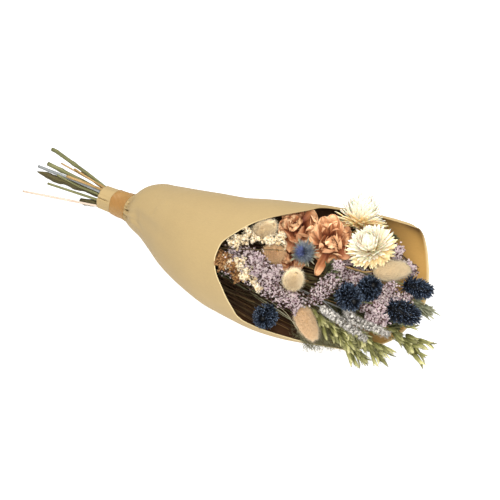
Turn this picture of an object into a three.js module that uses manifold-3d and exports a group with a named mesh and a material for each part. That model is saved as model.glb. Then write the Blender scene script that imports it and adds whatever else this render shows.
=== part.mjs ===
// A dried-flower bouquet lying down in a brown kraft paper sleeve, in millimetres, +Z up.
// It is laid out along +X from the tie (x = 0), cut stems on the minus side and flowers on the
// plus side, -Y towards the viewer, and at the end moved so that the origin is the centre of the
// bottom of its bounding box, on the surface it lies on.
import * as THREE from 'three';
import Module from 'manifold-3d';

const wasm = await Module();
wasm.setup();

// ---------------------------------------------------------------- driving dimensions
const PAPER = 0.7;            // thickness of the sleeve's wall
const GAP = 0.35;             // room kept between pieces that touch
const NECK = { end: -36, r: 12.4, tied: 12.9, flare: 14.4 };   // cut end of the sleeve, its outer
// radius there, where the tape begins and where the tape ends
const TAPE = { from: -19.5, to: -1, thick: 0.6 };

// Cross-sections of the sleeve: x, centre y, radius, how far its round is pressed flat on the
// table, how high the bottom is lifted off it.
const SLEEVE = [
  [NECK.end, 0, NECK.r, 0, 15.7], [TAPE.from, 0, NECK.tied, 0, 16], [TAPE.to, 0, NECK.flare, 0, 15.2],
  [5, 0.5, 17.8, 0, 13.2], [12, 1.5, 23.5, 0, 10], [25, 1, 29, 0, 7.4], [45, -4.3, 35, 0.3, 4.2],
  [70, -12.2, 42.4, 1.8, 2], [100, -17.6, 50, 5.4, 0.6], [140, -20.4, 58, 10, 0],
  [180, -20.2, 64.4, 9.9, 0], [220, -15, 68.2, 9.7, 0], [260, -5, 68.5, 7.5, 0],
  [300, 6, 66, 6, 0], [340, 15, 63.5, 5, 0], [400, 28, 60, 4, 0],
];
// The paper's free edge round the mouth: angle from +Y over the top towards the viewer, and x.
const MOUTH = [
  [-58, 313], [-45, 312], [-32, 309], [-20, 306], [-8, 303], [5, 301], [18, 300], [28, 299],
  [34, 298], [37, 272], [43, 254], [52, 232], [65, 219], [78, 213], [86, 202], [96, 184],
  [104, 173], [118, 160], [130, 151], [142, 150], [152, 153], [160, 158], [168, 165], [178, 172],
  [188, 179], [197, 184], [202, 193], [205, 208], [208, 225], [213, 240], [218, 256], [222, 276],
  [227, 280], [234, 279], [245, 286], [258, 302], [270, 308], [284, 310],
];
const SLEEVE_ROWS = [...SLEEVE.slice(0, 9).map((row) => row[0]), 140];

// Flower heads: centre, the way the head faces, radius across and length along that way.
const HEADS = {
  bunny_tail_1: {
    at: [181, -28, 105], face: [0.67, -0.1, 0.74], kind: 'tail', r: 9.5, len: 33, color: 0xcdbf9c,
  },
  bunny_tail_2: {
    at: [199, -41, 94], face: [0.52, -0.45, 0.73], kind: 'tail', r: 9.5, len: 33, color: 0xc09a6b,
  },
  bunny_tail_3: {
    at: [231, -58, 89], face: [0.37, -0.3, 0.88], kind: 'tail', r: 9.5, len: 32, color: 0xd8c69c,
  },
  bunny_tail_4: {
    at: [250, -65, 47], face: [0.77, -0.43, -0.47], kind: 'tail', r: 9.5, len: 36, color: 0xcfae7d,
  },
  bunny_tail_5: {
    at: [307, -8, 98], face: [0.89, 0.42, 0.17], kind: 'tail', r: 10, len: 36, color: 0xd6c299,
  },
  strawflower_1: {
    at: [255, 25, 122], face: [-0.19, 0.69, 0.69], kind: 'straw', r: 20.5, len: 24, color: 0xf0e6c8,
  },
  strawflower_2: {
    at: [284, -6, 113], face: [-0.19, -0.28, 0.94], kind: 'straw', r: 23.5, len: 22, color: 0xf2e9cf,
  },
  peach_bloom_1: {
    at: [205, -8, 105], face: [-0.16, -0.4, 0.9], kind: 'bloom', r: 20.5, len: 17, color: 0xc98a63,
  },
  peach_bloom_2: {
    at: [243, -10, 105], face: [0.44, -0.52, 0.74], kind: 'bloom', r: 21, len: 18, color: 0xc68560,
  },
  peach_bloom_3: {
    at: [205, -25, 77], face: [-0.02, -0.91, 0.42], kind: 'bloom', r: 16, len: 14, color: 0xbe7f58,
  },
  thistle: {
    at: [233, -43, 112], face: [0.27, -0.62, 0.74], kind: 'thistle', r: 10, len: 21, color: 0x5f6f86,
  },
  canary_grass_1: {
    at: [207, -71, 39], face: [0.26, -0.8, 0.53], kind: 'seed', r: 10.8, len: 31, color: 0x1d2c4f,
  },
  canary_grass_2: {
    at: [285, -47, 83], face: [0.76, -0.54, 0.36], kind: 'seed', r: 11.2, len: 32, color: 0x1c2a4c,
  },
  canary_grass_3: {
    at: [294, -26, 83], face: [0.5, -0.24, 0.83], kind: 'seed', r: 11.2, len: 32, color: 0x1b2949,
  },
  canary_grass_4: {
    at: [333, -28, 73], face: [0.99, 0.12, -0.02], kind: 'seed', r: 11, len: 34, color: 0x1d2c4f,
  },
  canary_grass_5: {
    at: [334, -5, 86], face: [0.99, 0.13, 0.02], kind: 'seed', r: 10, len: 30, color: 0x1b2a4a,
  },
};

// The stems of the heads: radius, colour and, for those whose cut end shows, where it lies.
const STALKS = {
  bunny_tail_1: { r: 0.9, color: 0xb9a46c, cut: [-98, 11, 39] },
  bunny_tail_2: { r: 0.9, color: 0xb9a46c, cut: [-79, 9, 41] },
  bunny_tail_3: { r: 1.0, color: 0xc2ab76, cut: [-74, 13, 36] },
  bunny_tail_4: { r: 0.9, color: 0xdcc39a, cut: [-128, -20, 10] },
  bunny_tail_5: { r: 1.0, color: 0xb9a46c },
  strawflower_1: { r: 1.3, color: 0xb89a5c, cut: [-82, -1, 37] },
  strawflower_2: { r: 1.3, color: 0xb89a5c },
  peach_bloom_1: { r: 2.0, color: 0x7c7a45, cut: [-115, 19, 46] },
  peach_bloom_2: { r: 2.1, color: 0x6f7a4a, cut: [-112, 6, 36] },
  peach_bloom_3: { r: 1.7, color: 0x76733f },
  thistle: { r: 1.6, color: 0x7b8583, cut: [-122, 2, 31] },
  canary_grass_1: { r: 1.0, color: 0x85804a },
  canary_grass_2: { r: 1.0, color: 0x85804a, cut: [-94, -2, 34] },
  canary_grass_3: { r: 1.0, color: 0x85804a },
  canary_grass_4: { r: 1.1, color: 0x85804a },
  canary_grass_5: { r: 1.0, color: 0x85804a },
};
// Sprays: the line each one's flowering part follows, its kind, colour and stem radius.
const SPRAYS = {
  limonium_1: {
    kind: 'lilac', r: 1.2, color: 0xa898ad,
    line: [[148, -59, 71], [170, -63, 77], [190, -66, 78], [209, -67, 75], [226, -67, 70], [241, -63, 67]],
  },
  limonium_2: {
    kind: 'lilac', r: 1.2, color: 0xab9bb0,
    line: [[147, -46, 81], [170, -52, 87], [189, -55, 87], [204, -57, 84], [214, -55, 77]],
  },
  limonium_3: {
    kind: 'lilac', r: 1.2, color: 0xa898ad,
    line: [[252, -14, 77], [262, -32, 91], [264, -43, 92], [260, -53, 87], [254, -60, 79]],
  },
  limonium_4: {
    kind: 'lilac', r: 1.2, color: 0xa595aa,
    line: [[282, -20, 54], [295, -26, 62], [304, -31, 66], [310, -36, 64], [312, -42, 60]],
  },
  limonium_5: {
    kind: 'lilac', r: 1.2, color: 0xa898ad,
    line: [[283, 22, 88], [299, 18, 96], [313, 10, 100], [326, 8, 98]],
  },
  limonium_6: {
    kind: 'lilac', r: 1.2, color: 0xa293a8,
    line: [[222, 6, 54], [242, 4, 62], [262, 1, 68], [280, -3, 73]],
  },
  cream_1: {
    kind: 'cream', r: 1.0, color: 0xe4d6b0,
    line: [[152, -52, 88], [167, -46, 99], [181, -46, 107], [197, -45, 111], [211, -46, 112]],
  },
  cream_2: {
    kind: 'cream', r: 1.0, color: 0xe4d6b0,
    line: [[159, -63, 80], [173, -68, 82], [188, -72, 80], [200, -75, 72]],
  },
  brown_1: {
    kind: 'cream', r: 0.9, color: 0x8e6a44,
    line: [[143, -62, 72], [155, -66, 76], [166, -70, 76], [176, -74, 74]],
  },
  lavender_1: {
    kind: 'spike', r: 1.1, color: 0xa9a9b8,
    line: [[261, -58, 68], [271, -61, 68], [284, -59, 62], [298, -56, 53], [307, -53, 46]],
  },
  lavender_2: {
    kind: 'spike', r: 1.1, color: 0xa9a9b8,
    line: [[278, -42, 60], [291, -53, 66], [305, -55, 66], [317, -51, 63], [328, -48, 58]],
  },
  oats_1: {
    kind: 'oats', r: 1.2, color: 0x97995f, way: [0.1, -0.8, -0.4],
    line: [[248, -50, 50], [262, -55, 50], [278, -57, 44], [290, -57, 36], [299, -57, 29]],
  },
  oats_2: {
    kind: 'oats', r: 1.2, color: 0x9b9d62, way: [0.15, -0.7, -0.4],
    line: [[277, -46, 47], [291, -48, 47], [303, -49, 42], [312, -49, 35], [319, -48, 28]],
  },
  oats_3: {
    kind: 'oats', r: 1.3, color: 0x97995f, cut: [-103, -8, 23], way: [0.3, -0.2, -0.5],
    line: [[290, -32, 48], [309, -34, 51], [326, -35, 50], [340, -35, 45], [351, -34, 38]],
  },
  oats_4: {
    kind: 'oats', r: 1.1, color: 0x92955c, way: [0.2, -0.5, -0.2],
    line: [[258, -48, 28], [272, -48, 27], [286, -46, 23], [298, -44, 18]],
  },
  wisp_1: {
    kind: 'wisp', r: 0.8, color: 0x8f8f77,
    line: [[222, -58, 38], [236, -60, 33], [246, -60, 27]],
  },
  wisp_2: {
    kind: 'wisp', r: 0.8, color: 0x8f8f77,
    line: [[236, -46, 40], [250, -50, 36], [262, -52, 30]],
  },
  leaf_1: {
    kind: 'leaf', r: 1.9, color: 0x4f5634, cut: [-121, -2, 27],
    line: [[180, -12, 80], [190, -22, 91], [197, -27, 100]],
  },
  leaf_2: {
    kind: 'leaf', r: 2.4, color: 0x4c5331, cut: [-62, -7, 16],
    line: [[240, -34, 74], [255, -38, 82], [266, -38, 90]],
  },
  leaf_3: {
    kind: 'leaf', r: 1.4, color: 0x6c7358,
    line: [[312, -10, 74], [328, -11, 75], [341, -12, 74]],
  },
  leaf_4: {
    kind: 'leaf', r: 1.4, color: 0x565d3a,
    line: [[225, -15, 26], [250, -12, 27], [276, -6, 28], [300, 0, 27]],
  },
  leaf_5: {
    kind: 'leaf', r: 1.4, color: 0x565d3a,
    line: [[215, 22, 74], [240, 32, 80], [264, 40, 82]],
  },
};
const STATIONS = [-66, -36, -18, -1, 14, 40, 75, 110, 145, 180, 215, 250, 285];   // where stems may turn

// ---------------------------------------------------------------- small helpers
const rad = (d) => (d * Math.PI) / 180;
const mix = (a, b, t) => a + (b - a) * t;
const V = (x, y, z) => new THREE.Vector3(x, y, z);
function seeded(seed) {
  let a = seed >>> 0;
  return () => {
    a = (a + 0x6d2b79f5) >>> 0;
    let t = a;
    t = Math.imul(t ^ (t >>> 15), t | 1);
    t ^= t + Math.imul(t ^ (t >>> 7), t | 61);
    return ((t ^ (t >>> 14)) >>> 0) / 4294967296;
  };
}
// value of a row table at x, column c
function at(table, x, c) {
  if (x <= table[0][0]) return table[0][c];
  for (let i = 1; i < table.length; i++) {
    if (x <= table[i][0]) {
      const [a, b] = [table[i - 1], table[i]];
      return mix(a[c], b[c], (x - a[0]) / (b[0] - a[0]));
    }
  }
  return table[table.length - 1][c];
}
// two unit vectors square to d
function across(d) {
  const u = (Math.abs(d.z) < 0.9 ? V(0, 0, 1) : V(1, 0, 0)).cross(d).normalize();
  return [u, d.clone().cross(u)];
}

// A shape is { p: points, t: triangles } with shared points.
// skin() joins rings of points, each ring a closed loop or a single pole.
function skin(rings) {
  const p = [], start = [], t = [];
  for (const r of rings) { start.push(p.length); p.push(...r); }
  const n = Math.max(...rings.map((r) => r.length));
  for (let i = 0; i + 1 < rings.length; i++) {
    const a = start[i], b = start[i + 1], ka = rings[i].length, kb = rings[i + 1].length;
    for (let j = 0; j < n; j++) {
      const k = (j + 1) % n;
      if (ka === 1) t.push([a, b + k, b + j]);
      else if (kb === 1) t.push([a + j, a + k, b]);
      else t.push([a + j, a + k, b + k], [a + j, b + k, b + j]);
    }
  }
  const last = rings.length - 1, [a, z] = [start[0], start[last]];
  for (let j = 1; j + 1 < n; j++) {
    if (rings[0].length > 1) t.push([a, a + j + 1, a + j]);
    if (rings[last].length > 1) t.push([z, z + j, z + j + 1]);
  }
  return outward({ p, t });
}
function volume({ p, t }) {
  return t.reduce((s, [a, b, c]) => s + p[a].dot(p[b].clone().cross(p[c])), 0) / 6;
}
function outward(m) {
  if (volume(m) < 0) m.t = m.t.map(([a, b, c]) => [a, c, b]);
  return m;
}
// raise() turns every chosen facet into a point: tip(centre, normal, random) gives where.
function raise(m, tip, pick = () => true, seed = 1) {
  const rnd = seeded(seed), p = [...m.p], t = [];
  for (const [a, b, c] of m.t) {
    const mid = m.p[a].clone().add(m.p[b]).add(m.p[c]).divideScalar(3);
    const n = m.p[b].clone().sub(m.p[a]).cross(m.p[c].clone().sub(m.p[a])).normalize();
    if (!pick(mid, n)) { t.push([a, b, c]); continue; }
    p.push(tip(mid, n, rnd));
    const k = p.length - 1;
    t.push([a, b, k], [b, c, k], [c, a, k]);
  }
  return { p, t };
}
// sweep() runs a round rod of given radii along a line of points; a radius of 0 is a point.
function sweep(points, radius, sides) {
  const n = points.length, rings = [];
  let [u] = across(points[1].clone().sub(points[0]).normalize());
  for (let i = 0; i < n; i++) {
    const d = points[Math.min(i + 1, n - 1)].clone().sub(points[Math.max(i - 1, 0)]).normalize();
    u = u.clone().addScaledVector(d, -u.dot(d)).normalize();
    const v = d.clone().cross(u), r = Array.isArray(radius) ? radius[i] : radius(i / (n - 1));
    rings.push(Array.from({ length: sides }, (_, j) => {
      const a = (2 * Math.PI * j) / sides;
      return points[i].clone().addScaledVector(u, r * Math.cos(a)).addScaledVector(v, r * Math.sin(a));
    }));
    if (r === 0) rings[i] = [points[i].clone()];
  }
  return skin(rings);
}
// turned() spins a profile of [radius, height] about a line from `base` along `d`.
function turned(base, d, profile, sides, twist = 0) {
  const [u, v] = across(d);
  return skin(profile.map(([r, h], i) => {
    const c = base.clone().addScaledVector(d, h);
    if (r === 0) return [c];
    return Array.from({ length: sides }, (_, j) => {
      const a = (2 * Math.PI * (j + twist * i)) / sides;
      return c.clone().addScaledVector(u, r * Math.cos(a)).addScaledVector(v, r * Math.sin(a));
    });
  }));
}
function toSolid(m) {
  return new wasm.Manifold(new wasm.Mesh({
    numProp: 3,
    vertProperties: new Float32Array(m.p.flatMap((q) => [q.x, q.y, q.z])),
    triVerts: new Uint32Array(m.t.flat()),
  }));
}
function fromSolid(s) {
  const { vertProperties: v, triVerts: t, numProp: k } = s.getMesh();
  const p = [];
  for (let i = 0; i < v.length; i += k) p.push(V(v[i], v[i + 1], v[i + 2]));
  const tri = [];
  for (let i = 0; i < t.length; i += 3) tri.push([t[i], t[i + 1], t[i + 2]]);
  return { p, t: tri };
}
// fuse() joins closed shapes into the one body they make together.
function fuse(shapes) {
  const whole = shapes.map(toSolid).reduce((a, b) => a.add(b));
  const bodies = whole.decompose().map(fromSolid);
  return bodies.sort((a, b) => volume(b) - volume(a))[0];
}

const bouquet = new THREE.Group();
function add(name, shape, color, roughness = 0.85) {
  const g = new THREE.BufferGeometry();
  g.setAttribute('position', new THREE.Float32BufferAttribute(shape.p.flatMap((q) => [q.x, q.y, q.z]), 3));
  g.setIndex(shape.t.flat());
  const mesh = new THREE.Mesh(g, new THREE.MeshStandardMaterial({ color, roughness, metalness: 0 }));
  mesh.name = name;
  bouquet.add(mesh);
}

// ---------------------------------------------------------------- the paper sleeve and its tape
// middle(): how high the sleeve's centre line lies, where its round isn't pressed flat
const middle = (x) => at(SLEEVE, x, 4) + at(SLEEVE, x, 2);
function sleevePoint(x, angle, inset) {
  const [cy, r, flat, lift] = [1, 2, 3, 4].map((c) => at(SLEEVE, x, c));
  const y = cy + (r - inset) * Math.cos(angle);
  const z = Math.max(lift + r - flat + (r - inset) * Math.sin(angle), lift + inset);
  return V(x, y, z);
}
{
  const rings = [];
  const column = ([deg, end], x, inset) => sleevePoint(x, rad(deg), inset);
  const rows = (c) => [...SLEEVE_ROWS, ...[0.45, 1].map((s) => mix(140, c[1], s))];
  const count = SLEEVE_ROWS.length + 2;
  for (let i = 0; i < count; i++) rings.push(MOUTH.map((c) => column(c, rows(c)[i], 0)));
  for (let i = count - 1; i >= 0; i--) rings.push(MOUTH.map((c) => column(c, rows(c)[i], PAPER)));
  // the outer and inner faces close on each other at both ends
  const p = rings.flat(), n = MOUTH.length, m = rings.length, t = [];
  for (let i = 0; i < m; i++) {
    for (let j = 0; j < n; j++) {
      const a = i * n + j, b = i * n + ((j + 1) % n);
      const c = ((i + 1) % m) * n + ((j + 1) % n), d = ((i + 1) % m) * n + j;
      t.push([a, b, c], [a, c, d]);
    }
  }
  add('paper_sleeve', outward({ p, t }), 0xc9a877, 0.9);
}
{
  const sides = 22;
  const ring = (x, out) => Array.from({ length: sides }, (_, j) => {
    const a = (2 * Math.PI * j) / sides, r = at(SLEEVE, x, 2) + GAP + out;
    return V(x, r * Math.cos(a), middle(x) + r * Math.sin(a));
  });
  const rings = [
    ring(TAPE.from, 0), ring(TAPE.from, TAPE.thick), ring(TAPE.to, TAPE.thick), ring(TAPE.to, 0),
  ];
  const p = rings.flat(), t = [];
  for (let i = 0; i < 4; i++) {
    for (let j = 0; j < sides; j++) {
      const a = i * sides + j, b = i * sides + ((j + 1) % sides);
      const c = ((i + 1) % 4) * sides + ((j + 1) % sides), d = ((i + 1) % 4) * sides + j;
      t.push([a, b, c], [a, c, d]);
    }
  }
  add('tape_band', outward({ p, t }), 0xb5803f, 0.6);
}

// ---------------------------------------------------------------- flower heads
// taken: the balls of room that every piece keeps to itself, with its owner's name
const taken = [];
const keep = (owner, c, r) => taken.push({ owner, c, r });

// rosette(): petals in tiers about the line from c along d. Each tier has [root radius, root
// height, reach, rim height]; `edge` gives how far a column reaches between two petals.
function rosette(c, d, top, tiers, foot, petals, edge, seed) {
  const [u, v] = across(d), rnd = seeded(seed), n = petals * edge.length;
  const put = (a, r, h) => c.clone().addScaledVector(d, h)
    .addScaledVector(u, r * Math.cos(a)).addScaledVector(v, r * Math.sin(a));
  const ring = (f) => Array.from({ length: n }, (_, j) => {
    const [r, h] = f(j);
    return put((2 * Math.PI * j) / n, r, h);
  });
  const rings = [[put(0, 0, top[1])], ring(() => [top[0], top[1] - 1.2])];
  tiers.forEach(([root, low, reach, rim, belly], k) => {
    const size = Array.from({ length: petals }, () => [mix(0.88, 1.03, rnd()), mix(-1.4, 1.4, rnd())]);
    const shift = (k * Math.floor(edge.length / 2)) % edge.length;
    const cut = (j) => edge[(j + shift) % edge.length];
    const petal = (j) => size[Math.floor(((j + shift) % n) / edge.length)];
    rings.push(ring(() => [root, low]));
    rings.push(ring((j) => {
      const s = 0.5 * (0.35 + 0.65 * cut(j));
      return [mix(root, reach, s), mix(low, rim, s) + belly * cut(j)];
    }));
    rings.push(ring((j) => {
      const [f, h] = petal(j), s = cut(j) * (cut(j) > 0.6 ? f : 1);
      return [mix(root, reach, s), mix(low, rim, s) + (cut(j) > 0.6 ? h : 0)];
    }));
  });
  rings.push(ring(() => foot[0]), ring(() => foot[1]));
  return skin(rings);
}

const MAKE = {
  // soft ovate head of fine bristles leaning to the tip
  tail(c, d, r, len, seed) {
    const core = turned(c.clone().addScaledVector(d, -len / 2), d, [
      [1.6, 0], [0.5 * r, 1.5], [0.72 * r, len * 0.2], [0.78 * r, len * 0.42], [0.66 * r, len * 0.64],
      [0.38 * r, len * 0.82], [0, len * 0.92],
    ], 7, 0.5);
    return raise(core, (m, n, k) => m.clone().addScaledVector(n, mix(0.2, 0.34, k()) * r)
      .addScaledVector(d, mix(1.2, 3, k())), (m) => m.clone().sub(c).dot(d) > -len / 2 + 0.5, seed);
  },
  // dense seed head with pointed husks
  seed(c, d, r, len, seed) {
    const core = turned(c.clone().addScaledVector(d, -len / 2), d, [
      [1.6, 0], [0.48 * r, 1.2], [0.7 * r, len * 0.18], [0.76 * r, len * 0.4], [0.66 * r, len * 0.62],
      [0.4 * r, len * 0.8], [0, len * 0.9],
    ], 7, 0.5);
    return raise(core, (m, n, k) => m.clone().addScaledVector(n, mix(0.24, 0.34, k()) * r)
      .addScaledVector(d, mix(2, 4, k())), (m) => m.clone().sub(c).dot(d) > -len / 2 + 0.5, seed);
  },
  // strawflower: stiff pointed bracts in four tiers round a closed centre
  straw(c, d, r, len, seed) {
    const h = len / 2;
    return rosette(c, d, [0.14 * r, h], [
      [0.16 * r, 0.4 * h, 0.5 * r, 1.05 * h, 0.5], [0.24 * r, -0.1 * h, 0.84 * r, 0.75 * h, 0.6],
      [0.26 * r, -0.5 * h, r, -0.05 * h, 0.8],
    ], [[0.2 * r, -0.85 * h], [0.1 * r, -h]], 13, [1, 0.3], seed);
  },
  // layered bloom with broad round petals
  bloom(c, d, r, len, seed) {
    const h = len / 2;
    return rosette(c, d, [0.08 * r, 0.9 * h], [
      [0.12 * r, 0.5 * h, 0.4 * r, 1.1 * h, -0.6], [0.16 * r, 0, 0.68 * r, 0.85 * h, -0.8],
      [0.2 * r, -0.35 * h, 0.92 * r, 0.4 * h, -0.8], [0.2 * r, -0.65 * h, r, -0.2 * h, 0.4],
    ], [[0.16 * r, -0.9 * h], [0.1 * r, -h]], 5, [1, 0.86, 0.3, 0.86], seed);
  },
  // thistle: a spiny globe over a ruff of narrow pointed bracts
  thistle(c, d, r, len, seed) {
    const h = len / 2, [u, v] = across(d), n = 14, rnd = seeded(seed);
    const ring = (f) => Array.from({ length: n }, (_, j) => {
      const a = (2 * Math.PI * j) / n, [q, z] = f(j);
      return c.clone().addScaledVector(d, z)
        .addScaledVector(u, q * Math.cos(a)).addScaledVector(v, q * Math.sin(a));
    });
    const whole = skin([
      [c.clone().addScaledVector(d, 0.8 * h)],
      ring(() => [0.5 * r, 0.62 * h]), ring(() => [0.82 * r, 0.22 * h]),
      ring(() => [0.8 * r, -0.1 * h]), ring(() => [0.5 * r, -0.36 * h]),
      ring((j) => (j % 2 ? [0.6 * r, -0.46 * h] : [mix(1.2, 1.5, rnd()) * r, mix(-0.3, 0.25, rnd()) * h])),
      ring(() => [0.42 * r, -0.72 * h]), ring(() => [0.16 * r, -h]),
    ]);
    return raise(whole, (m, nn, k) => m.clone().addScaledVector(nn, mix(0.22, 0.36, k()) * r),
      (m) => m.clone().sub(c).dot(d) > -0.2 * h && m.distanceTo(c) < 0.9 * r, seed);
  },
};
// the room each kind of head takes, as balls
const ROOM = {
  tail: (r, l) => [[-l * 0.3, 0, r * 0.72], [0, 0, r * 1.04], [l * 0.3, 0, r * 0.74]],
  seed: (r, l) => [[-l * 0.3, 0, r * 0.8], [0, 0, r * 1.04], [l * 0.3, 0, r * 0.78]],
  straw: (r, l) => [[-1, 0, r * 0.55], [l * 0.4, 0, r * 0.45], [1, r * 0.68, r * 0.33]],
  bloom: (r, l) => [[-1, 0, r * 0.55], [l * 0.4, 0, r * 0.4], [0, r * 0.68, r * 0.38]],
  thistle: (r, l) => [[1, 0, r * 1.15], [-l * 0.15, r * 1.35, r * 0.42]],
};
const foot = {};   // where each head's stem meets it, and the way it faces there
Object.entries(HEADS).forEach(([name, f], i) => {
  const c = V(...f.at), d = V(...f.face).normalize(), [u, v] = across(d);
  add(name, MAKE[f.kind](c, d, f.r, f.len, 11 + i), f.color);
  for (const [along, out, r] of ROOM[f.kind](f.r, f.len)) {
    for (let j = 0; j < (out ? 12 : 1); j++) {
      const a = (Math.PI * j) / 6;
      keep(name, c.clone().addScaledVector(d, along).addScaledVector(u, out * Math.cos(a))
        .addScaledVector(v, out * Math.sin(a)), r);
    }
  }
  foot[name] = { at: c.clone().addScaledVector(d, -f.len / 2 - GAP), d };
});

// ---------------------------------------------------------------- routes of the stems
// mouthAt(): how far the paper reaches at an angle round the sleeve
const mouthAt = (angle) => {
  const deg = (((angle * 180) / Math.PI + 58 + 720) % 360) - 58;
  return at([...MOUTH, [360 + MOUTH[0][0], MOUTH[0][1]]], deg, 1);
};
// clear(): whether a ball of radius r stays off the paper and the table
function clear(p, r) {
  if (p.z < r + GAP) return false;
  const [cy, R, flat, lift] = [1, 2, 3, 4].map((c) => at(SLEEVE, p.x, c));
  const dy = p.y - cy, dz = p.z - (lift + R - flat), s = Math.hypot(dy, dz);
  const inside = s + r + GAP <= R - PAPER && p.z - r >= lift + PAPER + GAP;
  const outside = s - r - GAP >= R;
  return inside || outside || p.x - r - 2 * GAP >= mouthAt(Math.atan2(dz, dy));
}
const TOWARD = V(0, -0.64, 0.77);   // out of the sleeve's open side
const TRIMMED = [-30, -22];         // where a stem ends whose cut end doesn't show
const routes = [];
const rnd = seeded(7);
for (const [name, f] of [...Object.entries(STALKS), ...Object.entries(SPRAYS)]) {
  const line = f.line ? f.line.map((q) => V(...q))
    : [foot[name].at.clone().addScaledVector(foot[name].d, -9), foot[name].at.clone()];
  routes.push({
    name, line, r: f.r, head: !f.line, cut: f.cut && V(...f.cut), shown: Boolean(f.cut),
    girth: f.kind === 'spike' ? 4.4 : f.r + 0.4,
  });
}
for (const o of routes) {
  for (let i = 0; i + 1 < o.line.length; i++) {
    for (let k = 0; k <= 4; k++) keep(o.name, o.line[i].clone().lerp(o.line[i + 1], k / 4), o.girth);
  }
}
// places in the neck, dealt out so that stems needn't cross
const NECK_Z = middle(-10), seats = [];
for (let i = -4; i <= 4; i++) {
  for (let j = -4; j <= 4; j++) seats.push([3.5 * (i + j / 2), 3.5 * j * 0.866]);
}
seats.sort((a, b) => Math.hypot(...a) - Math.hypot(...b)).splice(routes.length);
const lean = routes.map((o) => {
  const q = o.line[0], R = at(SLEEVE, q.x, 2), lift = at(SLEEVE, q.x, 4) - at(SLEEVE, q.x, 3);
  const head = [(q.y - at(SLEEVE, q.x, 1)) / R, (q.z - lift - R) / R];
  const cut = o.cut ? [(o.cut.y * 1.6) / 30, ((o.cut.z - NECK_Z) * 1.6) / 30] : head;
  return [head[0] + cut[0], head[1] + cut[1]];
});
const cost = (i, s) => Math.hypot(seats[s][0] - 8 * lean[i][0], seats[s][1] - 8 * lean[i][1]) ** 2;
const seat = routes.map((_, i) => i);
for (let again = true; again;) {
  again = false;
  for (let i = 0; i < seat.length; i++) {
    for (let j = i + 1; j < seat.length; j++) {
      if (cost(i, seat[j]) + cost(j, seat[i]) < cost(i, seat[i]) + cost(j, seat[j]) - 1e-6) {
        [seat[i], seat[j]] = [seat[j], seat[i]];
        again = true;
      }
    }
  }
}
routes.forEach((o, i) => {
  const [sy, sz] = seats[seat[i]], slot = V(0, sy, NECK_Z + sz), end = o.line[0];
  if (!o.cut) {
    o.cut = V(mix(...TRIMMED, rnd()), sy, NECK_Z + sz);
  }
  o.v = [o.cut.clone()];
  for (const x of STATIONS) {
    if (x < o.cut.x + 12 || x > end.x - 11) continue;
    const u = Math.max(0, x / end.x), q = slot.clone().lerp(end, u ** 1.15).setX(x);
    q.addScaledVector(TOWARD, -4 * u * (1 - u) * 0.2 * at(SLEEVE, x, 2));
    o.v.push(q);
  }
  o.free = o.v.length;      // vertices past this one stay where the flowers want them
  o.v.push(...o.line);
});
// settle the routes: smooth, apart from each other, off the flowers and off the paper
const LEVELS = Array.from({ length: 74 }, (_, i) => -128 + i * 6);
const balls = LEVELS.map((x) => taken.filter((b) => Math.abs(b.c.x - x) < b.r));
const ROUNDS = 500;
for (let it = 0; it < ROUNDS; it++) {
  const soft = 0.3 * (1 - it / ROUNDS) ** 1.5;
  for (const o of routes) {
    for (let k = 1; k < o.free; k++) {
      const [a, b, c] = [o.v[k - 1], o.v[k], o.v[k + 1]], t = (b.x - a.x) / (c.x - a.x);
      b.y += soft * (mix(a.y, c.y, t) - b.y);
      b.z += soft * (mix(a.z, c.z, t) - b.z);
    }
  }
  LEVELS.forEach((x, level) => {
    const here = [];
    for (const o of routes) {
      let k = 0;
      while (k < o.free && o.v[k + 1].x < x) k++;
      if (k >= o.free || x < o.v[0].x) continue;
      const t = (x - o.v[k].x) / (o.v[k + 1].x - o.v[k].x);
      here.push({ o, k, t, y: mix(o.v[k].y, o.v[k + 1].y, t), z: mix(o.v[k].z, o.v[k + 1].z, t) });
    }
    const push = (h, dy, dz) => {
      const w = (1 - h.t) ** 2 + h.t ** 2;
      for (const [k, f] of [[h.k, 1 - h.t], [h.k + 1, h.t]]) {
        if ((k === 0 && h.o.shown) || k >= h.o.free) continue;
        h.o.v[k].y += (dy * f) / w;
        h.o.v[k].z += (dz * f) / w;
      }
      h.y += dy;
      h.z += dz;
    };
    for (let i = 0; i < here.length; i++) {
      for (let j = i + 1; j < here.length; j++) {
        const [a, b] = [here[i], here[j]];
        const dy = b.y - a.y, dz = b.z - a.z, s = Math.hypot(dy, dz) || 1e-6;
        const lack = (a.o.r + b.o.r) * 1.08 + GAP + 0.2 - s;
        if (lack > 0) {
          push(a, (-dy / s) * lack * 0.5, (-dz / s) * lack * 0.5);
          push(b, (dy / s) * lack * 0.5, (dz / s) * lack * 0.5);
        }
      }
      const h = here[i];
      for (const b of balls[level]) {
        if (b.owner === h.o.name) continue;
        const dy = h.y - b.c.y, dz = h.z - b.c.z, s = Math.hypot(dy, dz) || 1e-6;
        const lack = Math.sqrt(b.r ** 2 - (b.c.x - x) ** 2) + h.o.r * 1.1 + GAP + 0.3 - s;
        if (lack > 0) push(h, (dy / s) * lack, (dz / s) * lack);
      }
      const [cy, R, flat, lift] = [1, 2, 3, 4].map((c) => at(SLEEVE, x, c));
      if (x > NECK.end - 2) {
        const dy = h.y - cy, dz = h.z - (lift + R - flat), s = Math.hypot(dy, dz);
        const over = s + h.o.r * 1.1 + GAP + 0.2 - (R - PAPER);
        if (over > 0) push(h, (-dy / s) * over, (-dz / s) * over);
      }
      const floor = (x > 0 ? lift + PAPER : 0) + h.o.r + GAP + 0.3;
      if (h.z < floor) push(h, 0, floor - h.z);
    }
  });
}
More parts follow.
